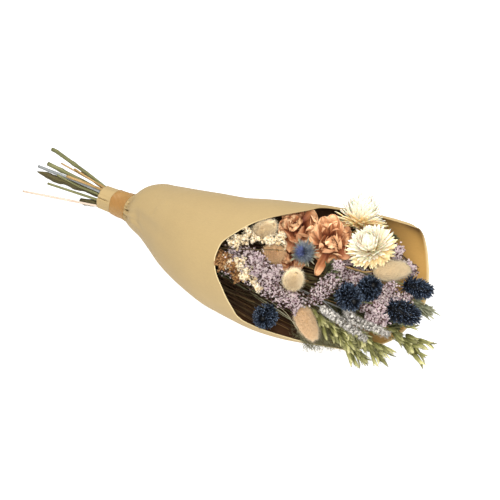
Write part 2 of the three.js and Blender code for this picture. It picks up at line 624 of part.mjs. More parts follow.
// report each route as balls of room for what grows next
for (const o of routes) {
  for (let i = 0; i < o.free; i++) {
    const n = Math.ceil(o.v[i].distanceTo(o.v[i + 1]) / 2.5);
    for (let k = 0; k < n; k++) keep(o.name, o.v[i].clone().lerp(o.v[i + 1], k / n), o.r + 0.4);
  }
}
const sidesOf = (r) => (r > 1.5 ? 6 : r > 1.1 ? 5 : 4);
for (const o of routes) {
  if (!o.head) continue;
  const stem = sweep(o.v, (t) => o.r * mix(1.05, 0.85, t), sidesOf(o.r));
  add(`${o.name}_stem`, stem, STALKS[o.name].color);
}

// ---------------------------------------------------------------- sprays
const fits = (owner, points, r) => points.every((p) => clear(p, r)
  && taken.every((b) => b.owner === owner || b.c.distanceTo(p) >= r + b.r + 1.5 * GAP));
const trace = (points, step = 2.5) => points.flatMap((q, i) => {
  if (i === 0) return [q];
  const n = Math.ceil(q.distanceTo(points[i - 1]) / step);
  return Array.from({ length: n }, (_, k) => points[i - 1].clone().lerp(q, (k + 1) / n));
});
function randomDir(k) {
  const z = mix(-1, 1, k()), a = 2 * Math.PI * k(), s = Math.sqrt(1 - z * z);
  return V(s * Math.cos(a), s * Math.sin(a), z);
}
const FACING = V(0.39, -0.63, 0.67);
// along(): the place and heading at share t of a line of points
function along(line, t) {
  const k = Math.min(line.length - 2, Math.floor(t * (line.length - 1)));
  const f = t * (line.length - 1) - k;
  return [line[k].clone().lerp(line[k + 1], f), line[k + 1].clone().sub(line[k]).normalize()];
}
const leaning = (k, heading, way, amounts) => randomDir(k).multiplyScalar(amounts[0])
  .addScaledVector(heading, amounts[1]).addScaledVector(way, amounts[2]).normalize();
// Each kind: how many branches, and branch(point, direction, random) giving its shapes with the
// line and radius of the room it takes.
const step = (p, d, l) => p.clone().addScaledVector(d, l);
const KIND = {
  lilac: {
    count: 7, lean: [0.8, 0.55, 0.45], room: 3.2,
    branch(p, d, k) {
      const l = mix(11, 17, k()), q = [p, step(step(p, d, l * 0.55), FACING, 0.8), step(p, d, l)];
      const florets = raise(sweep(q, [0.5, 1.5, 0.8], 3), (m, n, f) => step(m, n, mix(2, 3.2, f())),
        (m) => m.distanceTo(p) > l * 0.45, 1 + Math.floor(k() * 1e6));
      return { line: q, shape: florets };
    },
  },
  cream: {
    count: 8, lean: [0.8, 0.35, 0.6], room: 2.4,
    branch(p, d, k) {
      const l = mix(5, 10, k()), w = mix(2, 2.6, k());
      const q = [0, l - 1.9, l, l + 1.6].map((s) => step(p, d, s));
      return { line: [p, q[2]], shape: sweep(q, [0.4, 0.5, w, 0], 4) };
    },
  },
  oats: {
    count: 6, lean: [0.42, 0.9, 0.1], room: 2.2,
    branch(p, d, k, hang) {
      const a = step(step(p, d, 5), V(0, -0.3, 0.9), 1.2), l = mix(15, 19, k());
      const way = d.clone().add(V(...hang)).normalize();
      const q = [p, a, step(a, way, l * 0.4), step(a, way, l)];
      return { line: [p, a, q[3]], shape: sweep(q, [0.4, 0.6, 2, 0], 4) };
    },
  },
  wisp: {
    count: 6, lean: [0.75, 0.8, -0.1], room: 0.8,
    branch(p, d, k) {
      const q = step(p, d, mix(9, 16, k()));
      return { line: [p, q], shape: sweep([p, q], [0.35, 0.35], 3) };
    },
  },
  leaf: {
    count: 5, lean: [0.7, 0.7, 0.1], room: 3,
    branch(p, d, k) {
      const l = mix(15, 23, k()), side = d.clone().cross(FACING).normalize(), up = side.clone().cross(d);
      const w = mix(2.6, 3.4, k()), bend = mix(-1.5, 1.5, k());
      const ring = (s, f) => [[f * w, 0], [0, 0.6], [-f * w, 0], [0, -0.6]].map(([x, y]) =>
        step(step(step(p, d, l * s), side, x), up, y + bend * 4 * s * (1 - s)));
      const tip = step(p, d, l);
      return { line: [p, tip], shape: skin([[p.clone()], ring(0.3, 0.8), ring(0.6, 1), [tip]]) };
    },
  },
};
for (const o of routes) {
  if (o.head) continue;
  const f = SPRAYS[o.name], k = seeded(o.name.length * 97 + o.name.charCodeAt(o.name.length - 1) * 31);
  const girth = (t) => o.r * mix(1.05, 0.7, t);
  if (f.kind === 'spike') {
    const rod = o.v.length - o.line.length + 2;
    const wool = sweep(trace(o.line, 9), (t) => 2.6 * Math.sin(Math.PI * mix(0.12, 0.92, t)) ** 0.5, 5);
    const woolly = raise(wool, (m, n, g) => step(m, n, mix(1, 1.7, g())).add(V(1, 0, 0)), undefined, 5);
    add(o.name, fuse([sweep(o.v.slice(0, rod), girth, 4), woolly]), f.color);
    continue;
  }
  const kind = KIND[f.kind], shapes = [sweep(o.v, girth, o.r > 1.3 ? 5 : 4)];
  for (let i = 0; i < kind.count * 14 && shapes.length <= kind.count; i++) {
    const [p, heading] = along(o.line, (shapes.length - 0.4) / (kind.count + 0.2));
    const b = kind.branch(p, leaning(k, heading, FACING, kind.lean), k, f.way);
    const room = trace(b.line, 2).slice(f.kind === 'leaf' ? 1 : 2);
    if (!fits(o.name, room, kind.room)) continue;
    room.forEach((q) => keep(o.name, q, kind.room));
    shapes.push(b.shape);
  }
  add(o.name, fuse(shapes), f.color);
}

// ---------------------------------------------------------------- place the origin
const box = new THREE.Box3().setFromObject(bouquet);
bouquet.position.set(-(box.min.x + box.max.x) / 2, -(box.min.y + box.max.y) / 2, -box.min.z);
export default bouquet;
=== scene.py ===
"""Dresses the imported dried-flower bouquet: fine paper, petals, hairs, florets and stems.

Places are in the layout's own millimetres, as in the CAD source: x = 0 at the tie, flowers
towards +X, cut stems towards -X, the open side of the sleeve towards -Y. TIE moves them into
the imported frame. Every fine piece keeps the form of the CAD node that it replaces.
"""
import math

import bpy
import numpy as np
from mathutils import Matrix, Vector


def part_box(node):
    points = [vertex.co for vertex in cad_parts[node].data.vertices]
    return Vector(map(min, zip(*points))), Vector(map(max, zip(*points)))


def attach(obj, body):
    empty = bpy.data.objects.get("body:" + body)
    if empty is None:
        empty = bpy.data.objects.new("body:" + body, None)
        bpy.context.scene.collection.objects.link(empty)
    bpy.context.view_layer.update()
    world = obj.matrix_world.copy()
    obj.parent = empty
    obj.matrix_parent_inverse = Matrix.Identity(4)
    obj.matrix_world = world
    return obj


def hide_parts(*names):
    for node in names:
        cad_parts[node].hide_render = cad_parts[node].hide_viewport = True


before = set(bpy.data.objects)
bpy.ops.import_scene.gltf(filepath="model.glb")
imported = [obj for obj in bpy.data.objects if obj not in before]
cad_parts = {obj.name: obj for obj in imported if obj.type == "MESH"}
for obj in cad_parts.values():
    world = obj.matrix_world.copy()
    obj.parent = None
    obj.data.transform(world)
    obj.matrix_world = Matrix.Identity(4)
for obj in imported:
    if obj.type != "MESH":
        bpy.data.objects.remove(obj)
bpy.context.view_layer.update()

MM = 0.001

# ------------------------------------------------------------------ driving dimensions, in mm
NECK_END = -36.0                  # the sleeve's cut end
TAPE_FROM, TAPE_TO = -19.5, -1.0
TAPE_Z = 29.6                     # height of the tape's wide end, where its box is centred
PAPER = 0.35                      # thickness of the real sheet
FACING = np.array([0.39, -0.63, 0.67])   # the way the open side looks
ACROSS = np.array([0.848, 0.53, 0])      # along its width, towards the flowers
UPWARD = np.array([-0.355, 0.567, 0.743])   # over its width, away from the table

# Cross-sections of the sleeve: x, centre y, radius, how far the round is pressed flat, lift.
SLEEVE = np.array([
    [NECK_END, 0, 12.4, 0, 15.7], [TAPE_FROM, 0, 12.9, 0, 16], [TAPE_TO, 0, 14.4, 0, 15.2],
    [5, 0.5, 17.8, 0, 13.2], [12, 1.5, 23.5, 0, 10], [25, 1, 29, 0, 7.4], [45, -4.3, 35, 0.3, 4.2],
    [70, -12.2, 42.4, 1.8, 2], [100, -17.6, 50, 5.4, 0.6], [140, -20.4, 58, 10, 0],
    [180, -20.2, 64.4, 9.9, 0], [220, -15, 68.2, 9.7, 0], [260, -5, 68.5, 7.5, 0],
    [300, 6, 66, 6, 0], [340, 15, 63.5, 5, 0],
])
# The paper's free edge: angle from +Y over the top towards the viewer, and x.
MOUTH = np.array([
    [-58, 313], [-45, 312], [-32, 309], [-20, 306], [-8, 303], [5, 301], [18, 300], [28, 299],
    [34, 298], [37, 272], [43, 254], [52, 232], [65, 219], [78, 213], [86, 202], [96, 184],
    [104, 173], [118, 160], [130, 151], [142, 150], [152, 153], [160, 158], [168, 165],
    [178, 172], [188, 179], [197, 184], [202, 193], [205, 208], [208, 225], [213, 240],
    [218, 256], [222, 276], [227, 280], [234, 279], [245, 286], [258, 302], [270, 308],
    [284, 310], [302, 313],
])
SEAM = MOUTH[0, 0]                # the angle at which that table starts and ends
UNDER_PAPER = 2.4                 # how far a bloom's petals keep under the sheet
HEAD_SEED, SPRAY_SEED, STEM_SEED, STRAW_SEED = 100, 200, 400, 900

# Flower heads: kind, centre, the way the head faces, radius across, length along that way.
HEADS = {
    "bunny_tail_1": ("tail", (181, -28, 105), (0.67, -0.1, 0.74), 9.5, 33),
    "bunny_tail_2": ("tail", (199, -41, 94), (0.52, -0.45, 0.73), 9.5, 33),
    "bunny_tail_3": ("tail", (231, -58, 89), (0.37, -0.3, 0.88), 9.5, 32),
    "bunny_tail_4": ("tail", (250, -65, 47), (0.77, -0.43, -0.47), 9.5, 36),
    "bunny_tail_5": ("tail", (307, -8, 98), (0.89, 0.42, 0.17), 10, 36),
    "strawflower_1": ("straw", (255, 25, 122), (-0.19, 0.69, 0.69), 20.5, 24),
    "strawflower_2": ("straw", (284, -6, 113), (-0.19, -0.28, 0.94), 23.5, 22),
    "peach_bloom_1": ("bloom", (205, -8, 105), (-0.16, -0.4, 0.9), 20.5, 17),
    "peach_bloom_2": ("bloom", (243, -10, 105), (0.44, -0.52, 0.74), 21, 18),
    "peach_bloom_3": ("bloom", (205, -25, 77), (-0.02, -0.91, 0.42), 16, 14),
    "thistle": ("thistle", (233, -43, 112), (0.27, -0.62, 0.74), 10, 21),
    "canary_grass_1": ("seed", (207, -71, 39), (0.26, -0.8, 0.53), 10.8, 31),
    "canary_grass_2": ("seed", (285, -47, 83), (0.76, -0.54, 0.36), 11.2, 32),
    "canary_grass_3": ("seed", (294, -26, 83), (0.5, -0.24, 0.83), 11.2, 32),
    "canary_grass_4": ("seed", (333, -28, 73), (0.99, 0.12, -0.02), 11, 34),
    "canary_grass_5": ("seed", (334, -5, 86), (0.99, 0.13, 0.02), 10, 30),
}
# Sprays: kind, stem radius and the line that the flowering part follows.
SPRAYS = {
    "limonium_1": ("lilac", 1.2, [(148, -59, 71), (170, -63, 77), (190, -66, 78), (209, -67, 75),
                                  (226, -67, 70), (241, -63, 67)]),
    "limonium_2": ("lilac", 1.2, [(147, -46, 81), (170, -52, 87), (189, -55, 87), (204, -57, 84),
                                  (214, -55, 77)]),
    "limonium_3": ("lilac", 1.2, [(252, -14, 77), (262, -32, 91), (264, -43, 92), (260, -53, 87),
                                  (254, -60, 79)]),
    "limonium_4": ("lilac", 1.2, [(282, -20, 54), (295, -26, 62), (304, -31, 66), (310, -36, 64),
                                  (312, -42, 60)]),
    "limonium_5": ("lilac", 1.2, [(283, 22, 88), (299, 18, 96), (313, 10, 100), (326, 8, 98)]),
    "limonium_6": ("lilac", 1.2, [(222, 6, 54), (242, 4, 62), (262, 1, 68), (280, -3, 73)]),
    "cream_1": ("cream", 1.0, [(152, -52, 88), (167, -46, 99), (181, -46, 107), (197, -45, 111),
                               (211, -46, 112)]),
    "cream_2": ("cream", 1.0, [(159, -63, 80), (173, -68, 82), (188, -72, 80), (200, -75, 72)]),
    "brown_1": ("brown", 0.9, [(143, -62, 72), (155, -66, 76), (166, -70, 76), (176, -74, 74)]),
    "lavender_1": ("spike", 1.1, [(261, -58, 68), (271, -61, 68), (284, -59, 62), (298, -56, 53),
                                  (307, -53, 46)]),
    "lavender_2": ("spike", 1.1, [(278, -42, 60), (291, -53, 66), (305, -55, 66), (317, -51, 63),
                                  (328, -48, 58)]),
    "oats_1": ("oats", 1.2, [(248, -50, 50), (262, -55, 50), (278, -57, 44), (290, -57, 36),
                             (299, -57, 29)]),
    "oats_2": ("oats", 1.2, [(277, -46, 47), (291, -48, 47), (303, -49, 42), (312, -49, 35),
                             (319, -48, 28)]),
    "oats_3": ("oats", 1.3, [(290, -32, 48), (309, -34, 51), (326, -35, 50), (340, -35, 45),
                             (351, -34, 38)]),
    "oats_4": ("oats", 1.1, [(258, -48, 28), (272, -48, 27), (286, -46, 23), (298, -44, 18)]),
    "wisp_1": ("wisp", 0.8, [(222, -58, 38), (236, -60, 33), (246, -60, 27)]),
    "wisp_2": ("wisp", 0.8, [(236, -46, 40), (250, -50, 36), (262, -52, 30)]),
    "leaf_1": ("leaf", 1.9, [(180, -12, 80), (190, -22, 91), (197, -27, 100)]),
    "leaf_2": ("leaf", 2.4, [(240, -34, 74), (255, -38, 82), (266, -38, 90)]),
    "leaf_3": ("leaf", 1.4, [(312, -10, 74), (328, -11, 75), (341, -12, 74)]),
    "leaf_4": ("leaf", 1.4, [(225, -15, 26), (250, -12, 27), (276, -6, 28), (300, 0, 27)]),
    "leaf_5": ("leaf", 1.4, [(215, 22, 74), (240, 32, 80), (264, 40, 82)]),
}

# Where the layout's x = y = z = 0 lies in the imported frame.
_low, _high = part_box("tape_band")
TIE = np.array((_low + _high) / 2) / MM - np.array([(TAPE_FROM + TAPE_TO) / 2, 0, TAPE_Z])


# ------------------------------------------------------------------ geometry helpers
def unit(a):
    a = np.asarray(a, float)
    return a / np.maximum(np.linalg.norm(a, axis=-1, keepdims=True), 1e-9)


def square_to(d):
    """Two unit vectors square to each unit vector of d."""
    ref = np.where(np.abs(d[..., 2:]) < 0.9, [0.0, 0, 1], [1.0, 0, 0])
    u = unit(np.cross(ref, d))
    return u, np.cross(d, u)


def turned(d, a):
    """Unit vectors square to d, at the angles a round it."""
    u, v = square_to(d)
    return u * np.cos(a)[..., None] + v * np.sin(a)[..., None]


def axes(x, z):
    """Frames from their first and third axes."""
    return np.stack([x, np.cross(z, x), z], axis=1)


def fan(hub, i, j):
    """Triangles from the point hub to each pair of i and j."""
    return np.stack([np.full(len(i), hub), i, j], axis=1)


def random_dirs(rng, n):
    return unit(rng.normal(size=(n, 3)))


def smooth(table, x, c):
    """Column c of a row table at x, on a smooth curve that doesn't swing past the rows."""
    t, v = table[:, 0], table[:, c]
    x = np.clip(x, t[0], t[-1])
    h, d = np.diff(t), np.diff(v) / np.diff(t)
    m = np.concatenate([[d[0]], (d[1:] + d[:-1]) / 2, [d[-1]]])
    flat = np.concatenate([[False], d[1:] * d[:-1] <= 0, [False]])
    m[flat] = 0
    limit = 3 * np.minimum(np.abs(np.append(d, d[-1])), np.abs(np.insert(d, 0, d[0])))
    m = np.clip(m, -limit, limit)
    i = np.clip(np.searchsorted(t, x) - 1, 0, len(h) - 1)
    s = (x - t[i]) / h[i]
    a, b = 2 * s**3 - 3 * s**2 + 1, s**3 - 2 * s**2 + s
    return a * v[i] + b * h[i] * m[i] + (1 - a) * v[i + 1] + (s**3 - s**2) * h[i] * m[i + 1]


def curve(points, n):
    """n points on a smooth curve through the given ones, evenly by length."""
    p = np.asarray(points, float)
    t = np.concatenate([[0], np.cumsum(np.linalg.norm(np.diff(p, axis=0), axis=1))])
    fine = np.linspace(0, t[-1], n)
    return np.stack([smooth(np.column_stack([t, p[:, k]]), fine, 1) for k in range(3)], axis=1)


def section(x):
    """The sleeve's centre y, radius, centre height and lift off the table at x."""
    cy, r, flat, lift = (smooth(SLEEVE, x, c) for c in (1, 2, 3, 4))
    return cy, r, lift + r - flat, lift


def place_in_sleeve(p):
    """The section at each point, the point's offset from its centre (y, z and length), and the
    x past which there is no paper over the point."""
    cy, r, mid, lift = section(p[:, 0])
    dy, dz = p[:, 1] - cy, p[:, 2] - mid
    deg = (np.degrees(np.arctan2(dz, dy)) - SEAM) % 360 + SEAM
    return (cy, r, mid, lift), (dy, dz, np.hypot(dy, dz)), smooth(MOUTH, deg, 1) + 2


def put(name, data):
    """A new object in the scene."""
    obj = bpy.data.objects.new(name, data)
    bpy.context.scene.collection.objects.link(obj)
    return obj


class Build:
    """Gathers the faces of one piece. Each point also carries along (0 root to 1 tip),
    across (-1 to 1) and tone (0 to 1, a petal's or hair's own share of the colour)."""

    def __init__(self):
        self.points, self.faces, self.marks, self.count = [], [], [], 0

    def add(self, points, faces, along, across, tone):
        """Points of any shape (..., 3), arrays of triangles or quads, and the three marks."""
        points = np.reshape(points, (-1, 3))
        n = len(points)
        self.points.append(points)
        self.marks.append(np.stack([np.broadcast_to(np.ravel(m), n)
                                    for m in (along, across, tone)], axis=1))
        self.faces += [f.reshape(-1, f.shape[-1]) + self.count for f in faces]
        self.count += n

    def stamp(self, template, origins, frames, sizes, tones):
        """Copies of a template (points, faces, along, across) at each origin."""
        pts, faces, along, across = template
        k, n = len(origins), len(pts)
        placed = origins[:, None] + sizes[:, None, None] * np.einsum("nj,kji->kni", pts, frames)
        shift = (np.arange(k) * n)[:, None, None]
        self.add(placed, [f + shift for f in faces], np.tile(along, k), np.tile(across, k),
                 np.repeat(tones, n))

    def grid(self, points, along, across, tone, closed=False):
        """A sheet, or many alike, of points shaped (k, rows, cols, 3)."""
        shape = points.shape[:3]
        i = np.arange(np.prod(shape)).reshape(shape)
        if closed:
            i = np.concatenate([i, i[:, :, :1]], axis=2)
        quads = np.stack([i[:, :-1, :-1], i[:, :-1, 1:], i[:, 1:, 1:], i[:, 1:, :-1]], axis=-1)
        self.add(points, [quads], *(np.broadcast_to(m, shape) for m in (along, across, tone)))

    def tube(self, points, radius, sides, tone=0.5, rib=0.0, along=None):
        """A closed round rod along points; radius may change from point to point."""
        p = np.asarray(points, float)
        n = len(p)
        heading = unit(np.gradient(p, axis=0))
        u = np.zeros_like(p)
        u[0] = square_to(heading[0])[0]
        for i in range(1, n):
            u[i] = unit(u[i - 1] - heading[i] * (u[i - 1] @ heading[i]))
        a = 2 * np.pi * np.arange(sides) / sides
        r = (np.broadcast_to(radius, n)[:, None] * (1 + rib * np.cos(3 * a)))[..., None]
        ring = p[:, None] + r * (u[:, None] * np.cos(a)[:, None]
                                 + np.cross(heading, u)[:, None] * np.sin(a)[:, None])
        s = np.linspace(0, 1, n) if along is None else np.broadcast_to(along, n)
        i = np.arange(n * sides).reshape(n, sides)
        j = np.roll(i, -1, axis=1)
        quads = np.stack([i[:-1], j[:-1], j[1:], i[1:]], axis=-1)
        caps = [fan(n * sides, j[0], i[0]), fan(n * sides + 1, i[-1], j[-1])]
        self.add(np.concatenate([ring.reshape(-1, 3), p[:1], p[-1:]]), [quads, *caps],
                 np.append(np.repeat(s, sides), s[[0, -1]]),
                 np.append(np.tile(a / np.pi - 1, n), [0, 0]), tone)

    def hairs(self, roots, ways, lengths, width, tones):
        """Thin three-sided needles, each a closed solid."""
        k = len(roots)
        base = roots[:, None] + width * turned(ways[:, None], 2 * np.pi * np.arange(3) / 3)
        tips = roots + ways * np.reshape(lengths, (-1, 1))
        faces = np.array([[0, 1, 3], [1, 2, 3], [2, 0, 3], [0, 2, 1]])
        self.add(np.concatenate([base, tips[:, None]], axis=1),
                 [faces + 4 * np.arange(k)[:, None, None]], np.tile([0, 0, 0, 1.0], k), 0.0,
                 np.repeat(tones, 4))

    def make(self, name, material, slot, nodes=(), thick=0.0, levels=0):
        """The finished Blender object, riding on the only body."""
        faces = [row for f in sorted(self.faces, key=lambda f: f.shape[1]) for row in f.tolist()]
        data = bpy.data.meshes.new(name)
        data.from_pydata(((np.concatenate(self.points) + TIE) * MM).tolist(), [], faces,
                         shade_flat=False)
        marks = np.concatenate(self.marks).astype(np.float32)
        for k, label in enumerate(("along", "across", "tone")):
            data.attributes.new(label, "FLOAT", "POINT").data.foreach_set(
                "value", marks[:, k].copy())
        data.materials.append(material)
        obj = put(name, data)
        if levels:
            sub = obj.modifiers.new("round", "SUBSURF")
            sub.levels = sub.render_levels = levels
        if thick:
            solid = obj.modifiers.new("thickness", "SOLIDIFY")
            solid.thickness, solid.offset = thick * MM, 0
        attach(obj, "root")
        if nodes:
            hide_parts(*nodes)
        return obj


# ------------------------------------------------------------------ materials
def srgb(r, g, b):
    return tuple(((c / 255 + 0.055) / 1.055) ** 2.4 if c > 10 else c / 255 / 12.92
                 for c in (r, g, b)) + (1.0,)


class Shade:
    """A node material that is put together link by link."""

    def __init__(self, name, roughness, specular=0.3, sheen=0.0, subsurface=0.0):
        self.material = bpy.data.materials.new(name)
        self.material.use_nodes = True
        self.tree = self.material.node_tree
        self.main = self.tree.nodes["Principled BSDF"]
        for key, value in (("Roughness", roughness), ("Specular IOR Level", specular),
                           ("Sheen Weight", sheen), ("Subsurface Weight", subsurface),
                           ("Subsurface Scale", 2 * MM)):
            self.main.inputs[key].default_value = value
        self.place = self.node("ShaderNodeTexCoord").outputs["Object"]

    def node(self, kind, values=None, **settings):
        made = self.tree.nodes.new(kind)
        for key, value in settings.items():
            setattr(made, key, value)
        for key, value in (values or {}).items():
            if isinstance(value, bpy.types.NodeSocket):
                self.tree.links.new(value, made.inputs[key])
            else:
                made.inputs[key].default_value = value
        return made

    def mark(self, label):
        return self.node("ShaderNodeAttribute", attribute_name=label).outputs["Fac"]

    def stretched(self, scale):
        return self.node("ShaderNodeMapping", {"Vector": self.place, "Scale": scale}).outputs[0]

    def noise(self, scale, detail=3.0, stretch=None, rough=0.55):
        return self.node("ShaderNodeTexNoise", {
            "Vector": self.stretched(stretch) if stretch else self.place, "Scale": scale,
            "Detail": detail, "Roughness": rough}).outputs["Fac"]

    def remap(self, value, a, b, c, d):
        return self.node("ShaderNodeMapRange", {
            "Value": value, "From Min": a, "From Max": b, "To Min": c, "To Max": d}).outputs[0]

    def maths(self, what, a, b=0.0):
        return self.node("ShaderNodeMath", {0: a, 1: b}, operation=what).outputs[0]

    def times(self, a, b):
        return self.maths("MULTIPLY", a, b)

    def ramp(self, value, stops):
        made = self.node("ShaderNodeValToRGB", {"Fac": value})
        line = made.color_ramp.elements
        while len(line) < len(stops):
            line.new(0.5)
        for e, (at, *color) in zip(line, stops):
            e.position, e.color = at, srgb(*color)
        return made.outputs["Color"]

    def blend(self, factor, a, b, how="MIX"):
        return self.node("ShaderNodeMix", {"Factor": factor, 6: a, 7: b}, data_type="RGBA",
                         blend_type=how).outputs[2]

    def bright(self, color, value):
        return self.node("ShaderNodeHueSaturation", {
            "Color": color, "Value": value}).outputs["Color"]

    def finish(self, color, bump=None, strength=0.3, depth=0.2):
        self.tree.links.new(color, self.main.inputs["Base Color"])
        if bump is not None:
            normal = self.node("ShaderNodeBump", {
                "Height": bump, "Strength": strength, "Distance": depth * MM}).outputs["Normal"]
            self.tree.links.new(normal, self.main.inputs["Normal"])
        return self.material


def plant(name, stops, roughness=0.75, vary=0.15, veins=0, mottle=0.12, sheen=0.0, bump=0.35,
          specular=0.25, hues=(), subsurface=0.0):
    """Petal, husk or leaf: colour from root to tip in stops (place, red, green, blue), a tone
    for each (its brightness, or one of the hues that the colour is multiplied with), mottling
    and veins."""
    s = Shade(name, roughness, specular, sheen, subsurface)
    color = s.ramp(s.mark("along"), stops)
    if hues:
        color = s.blend(1.0, color, s.ramp(s.mark("tone"), hues), "MULTIPLY")
    value = s.times(s.remap(s.mark("tone"), 0, 1, 1 - vary, 1 + vary),
                    s.remap(s.noise(260.0), 0.3, 0.7, 1 - mottle, 1 + mottle))
    height = s.noise(900.0, 4.0)
    if veins:
        wave = s.maths("SINE", s.times(s.mark("across"), veins))
        value = s.times(value, s.remap(wave, -1, 1, 0.93, 1.04))
        height = s.maths("ADD", height, s.times(wave, 0.4))
    return s.finish(s.bright(color, value), height, bump, 0.25)


def paper_material(name, outer, inner, edge, roughness=0.62, fibre_scale=1.0):
    """Brown paper: clouds of tone, short fibres along the sheet, dark flecks, a pale cut edge.
    The tone mark tells the inner face, the along mark how much painted shade the inner face
    takes (dark brown deep inside), the across mark the edge."""
    s = Shade(name, roughness, 0.3)
    inner_with_painted_shade = s.blend(s.mark("along"), srgb(*inner), srgb(*PAINTED_SHADE_INSIDE))
    color = s.blend(s.mark("tone"), srgb(*outer), inner_with_painted_shade)
    clouds = s.remap(s.noise(14.0, 3.0), 0.3, 0.7, 0.94, 1.035)
    fibres = s.noise(900.0 * fibre_scale, 4.0, (0.18, 1, 1), 0.7)
    grain = s.noise(2600.0 * fibre_scale, 2.0)
    value = s.times(clouds, s.remap(fibres, 0.25, 0.75, 0.94, 1.05))
    flecks = s.node("ShaderNodeTexVoronoi", {
        "Vector": s.stretched((0.4, 1, 1)), "Scale": 420.0 * fibre_scale}).outputs["Distance"]
    value = s.times(value, s.remap(flecks, 0.05, 0.14, 0.9, 1.0))
    color = s.blend(s.mark("across"), s.bright(color, value), srgb(*edge))
    return s.finish(color, s.maths("ADD", fibres, s.times(grain, 0.5)), 0.2, 0.12)


def stem_material(name, dark, pale):
    """Dry stalk: long streaks and ribs, with painted shade, darker and browner, inside the sleeve.
    """
    s = Shade(name, 0.7, 0.3)
    streaks = s.noise(700.0, 4.0, (0.05, 1, 1), 0.65)
    ribs = s.maths("SINE", s.times(s.mark("across"), 28.0))
    color = s.blend(s.remap(streaks, 0.3, 0.7, 0, 1), srgb(*dark), srgb(*pale))
    value = s.times(s.remap(s.mark("tone"), 0, 1, 0.75, 1.2), s.remap(ribs, -1, 1, 0.9, 1.05))
    x = s.node("ShaderNodeSeparateXYZ", {"Vector": s.place}).outputs["X"]
    lit = s.maths("MAXIMUM", *(s.remap(x, a, b, IN_SHADE, 1.0) for a, b in LIGHTS_UP))
    value = s.times(value, lit)
    color = s.blend(s.maths("SUBTRACT", 1.0, lit), color, srgb(*SHADE_BROWN))
    height = s.maths("ADD", streaks, s.times(ribs, 0.5))
    return s.finish(s.bright(color, value), height, 0.4, 0.2)


# painted shade: the dark brown of the paper's inner face deep inside the sleeve, and the brown that
# stems take in there
PAINTED_SHADE_INSIDE, SHADE_BROWN = (74, 48, 28), (104, 66, 34)
IN_SHADE = 0.42                              # how bright a stem is inside the sleeve, in its painted shade
LIGHTS_UP = ((0.05, 0.15), (-0.11, -0.14))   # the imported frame's x over which it gets brighter
KRAFT = paper_material("kraft paper", (171, 147, 102), (186, 144, 78), (214, 194, 146))
TAPE = paper_material("paper tape", (158, 120, 66), (150, 109, 58), (178, 142, 84), 0.5, 1.6)
STRAW_STEM = stem_material("straw stem", (136, 104, 56), (196, 164, 110))
GREEN_STEM = stem_material("green stem", (84, 85, 52), (134, 132, 90))
DARK_STEM = stem_material("dark stem", (54, 46, 26), (94, 86, 50))
GREY_STEM = stem_material("grey stem", (104, 108, 106), (158, 160, 160))
PALE_STEM = stem_material("pale stem", (206, 182, 160), (232, 214, 196))
CALYX = stem_material("dry twig", (44, 32, 22), (92, 72, 54))
FUR = {"roughness": 0.9, "sheen": 0.25, "bump": 0.0}
TAIL = plant("hare's tail", [(0, 206, 178, 128), (0.5, 236, 212, 168), (1, 252, 240, 212)],
             vary=0.08, mottle=0.05, **FUR)
TAIL_WARM = plant("hare's tail, warm", [(0, 170, 124, 78), (0.5, 216, 170, 118),
                                        (1, 244, 214, 172)], vary=0.1, mottle=0.06, **FUR)
TAIL_PEACH = plant("hare's tail, peach", [(0, 200, 160, 112), (0.5, 240, 204, 154),
                                          (1, 252, 234, 204)], vary=0.08, mottle=0.05, **FUR)
# navy husk: the pale blue at the very tips is a painted glint
SEED = plant("navy husk", [(0, 5, 6, 9), (0.5, 15, 20, 29), (0.8, 34, 46, 64),
                           (1, 150, 170, 196)], 0.5, 0.75, 8)
DRY = {"specular": 0.35, "subsurface": 0.2}
STRAW = plant("strawflower bract", [(0, 202, 168, 106), (0.3, 230, 215, 180),
                                    (1, 244, 237, 219)], 0.45, 0.04, 16, 0.04, **DRY)
STRAW_OUTER = plant("strawflower outer bract", [(0, 212, 164, 92), (0.4, 236, 202, 136),
                                                (1, 246, 228, 186)], 0.45, 0.06, 16, 0.06, **DRY)
# peach petal: dark towards the root, partly the bloom's darker heart, partly painted shade between
# the petals
PEACH = plant("peach petal", [(0, 58, 18, 10), (0.3, 106, 52, 32), (0.68, 166, 110, 74),
                              (0.93, 224, 186, 148), (1, 198, 150, 112)], 0.6, 0.3, 26, 0.18,
              hues=[(0, 255, 226, 210), (0.5, 255, 246, 232), (1, 255, 255, 250)])
THISTLE_BALL = plant("thistle spine", [(0, 28, 32, 44), (0.5, 76, 84, 104), (1, 184, 190, 190)],
                     0.6, 0.2, hues=[(0, 255, 246, 226), (0.25, 250, 250, 246),
                                     (0.6, 226, 240, 255), (0.75, 190, 196, 255),
                                     (1, 176, 184, 250)])
THISTLE_RUFF = plant("thistle ruff", [(0, 70, 74, 62), (0.6, 112, 114, 94), (1, 190, 182, 152)],
                     0.6, 0.25, 9)
LILAC = plant("sea lavender", [(0, 56, 40, 34), (0.4, 146, 126, 128), (1, 246, 238, 238)],
              vary=0.0, mottle=0.1, hues=[(0, 90, 68, 58), (0.24, 126, 100, 96),
                                          (0.32, 206, 186, 196), (0.55, 240, 228, 230),
                                          (1, 255, 252, 244)])
CREAM = plant("cream floret", [(0, 132, 104, 62), (0.4, 222, 202, 160), (1, 252, 247, 234)],
              vary=0.06, hues=[(0, 206, 176, 134), (0.3, 248, 236, 212), (1, 255, 255, 255)])
BROWN = plant("brown floret", [(0, 62, 38, 20), (0.5, 132, 96, 58), (1, 204, 170, 124)],
              vary=0.25, mottle=0.2, hues=[(0, 176, 136, 96), (0.7, 236, 214, 190),
                                           (1, 255, 252, 244)])
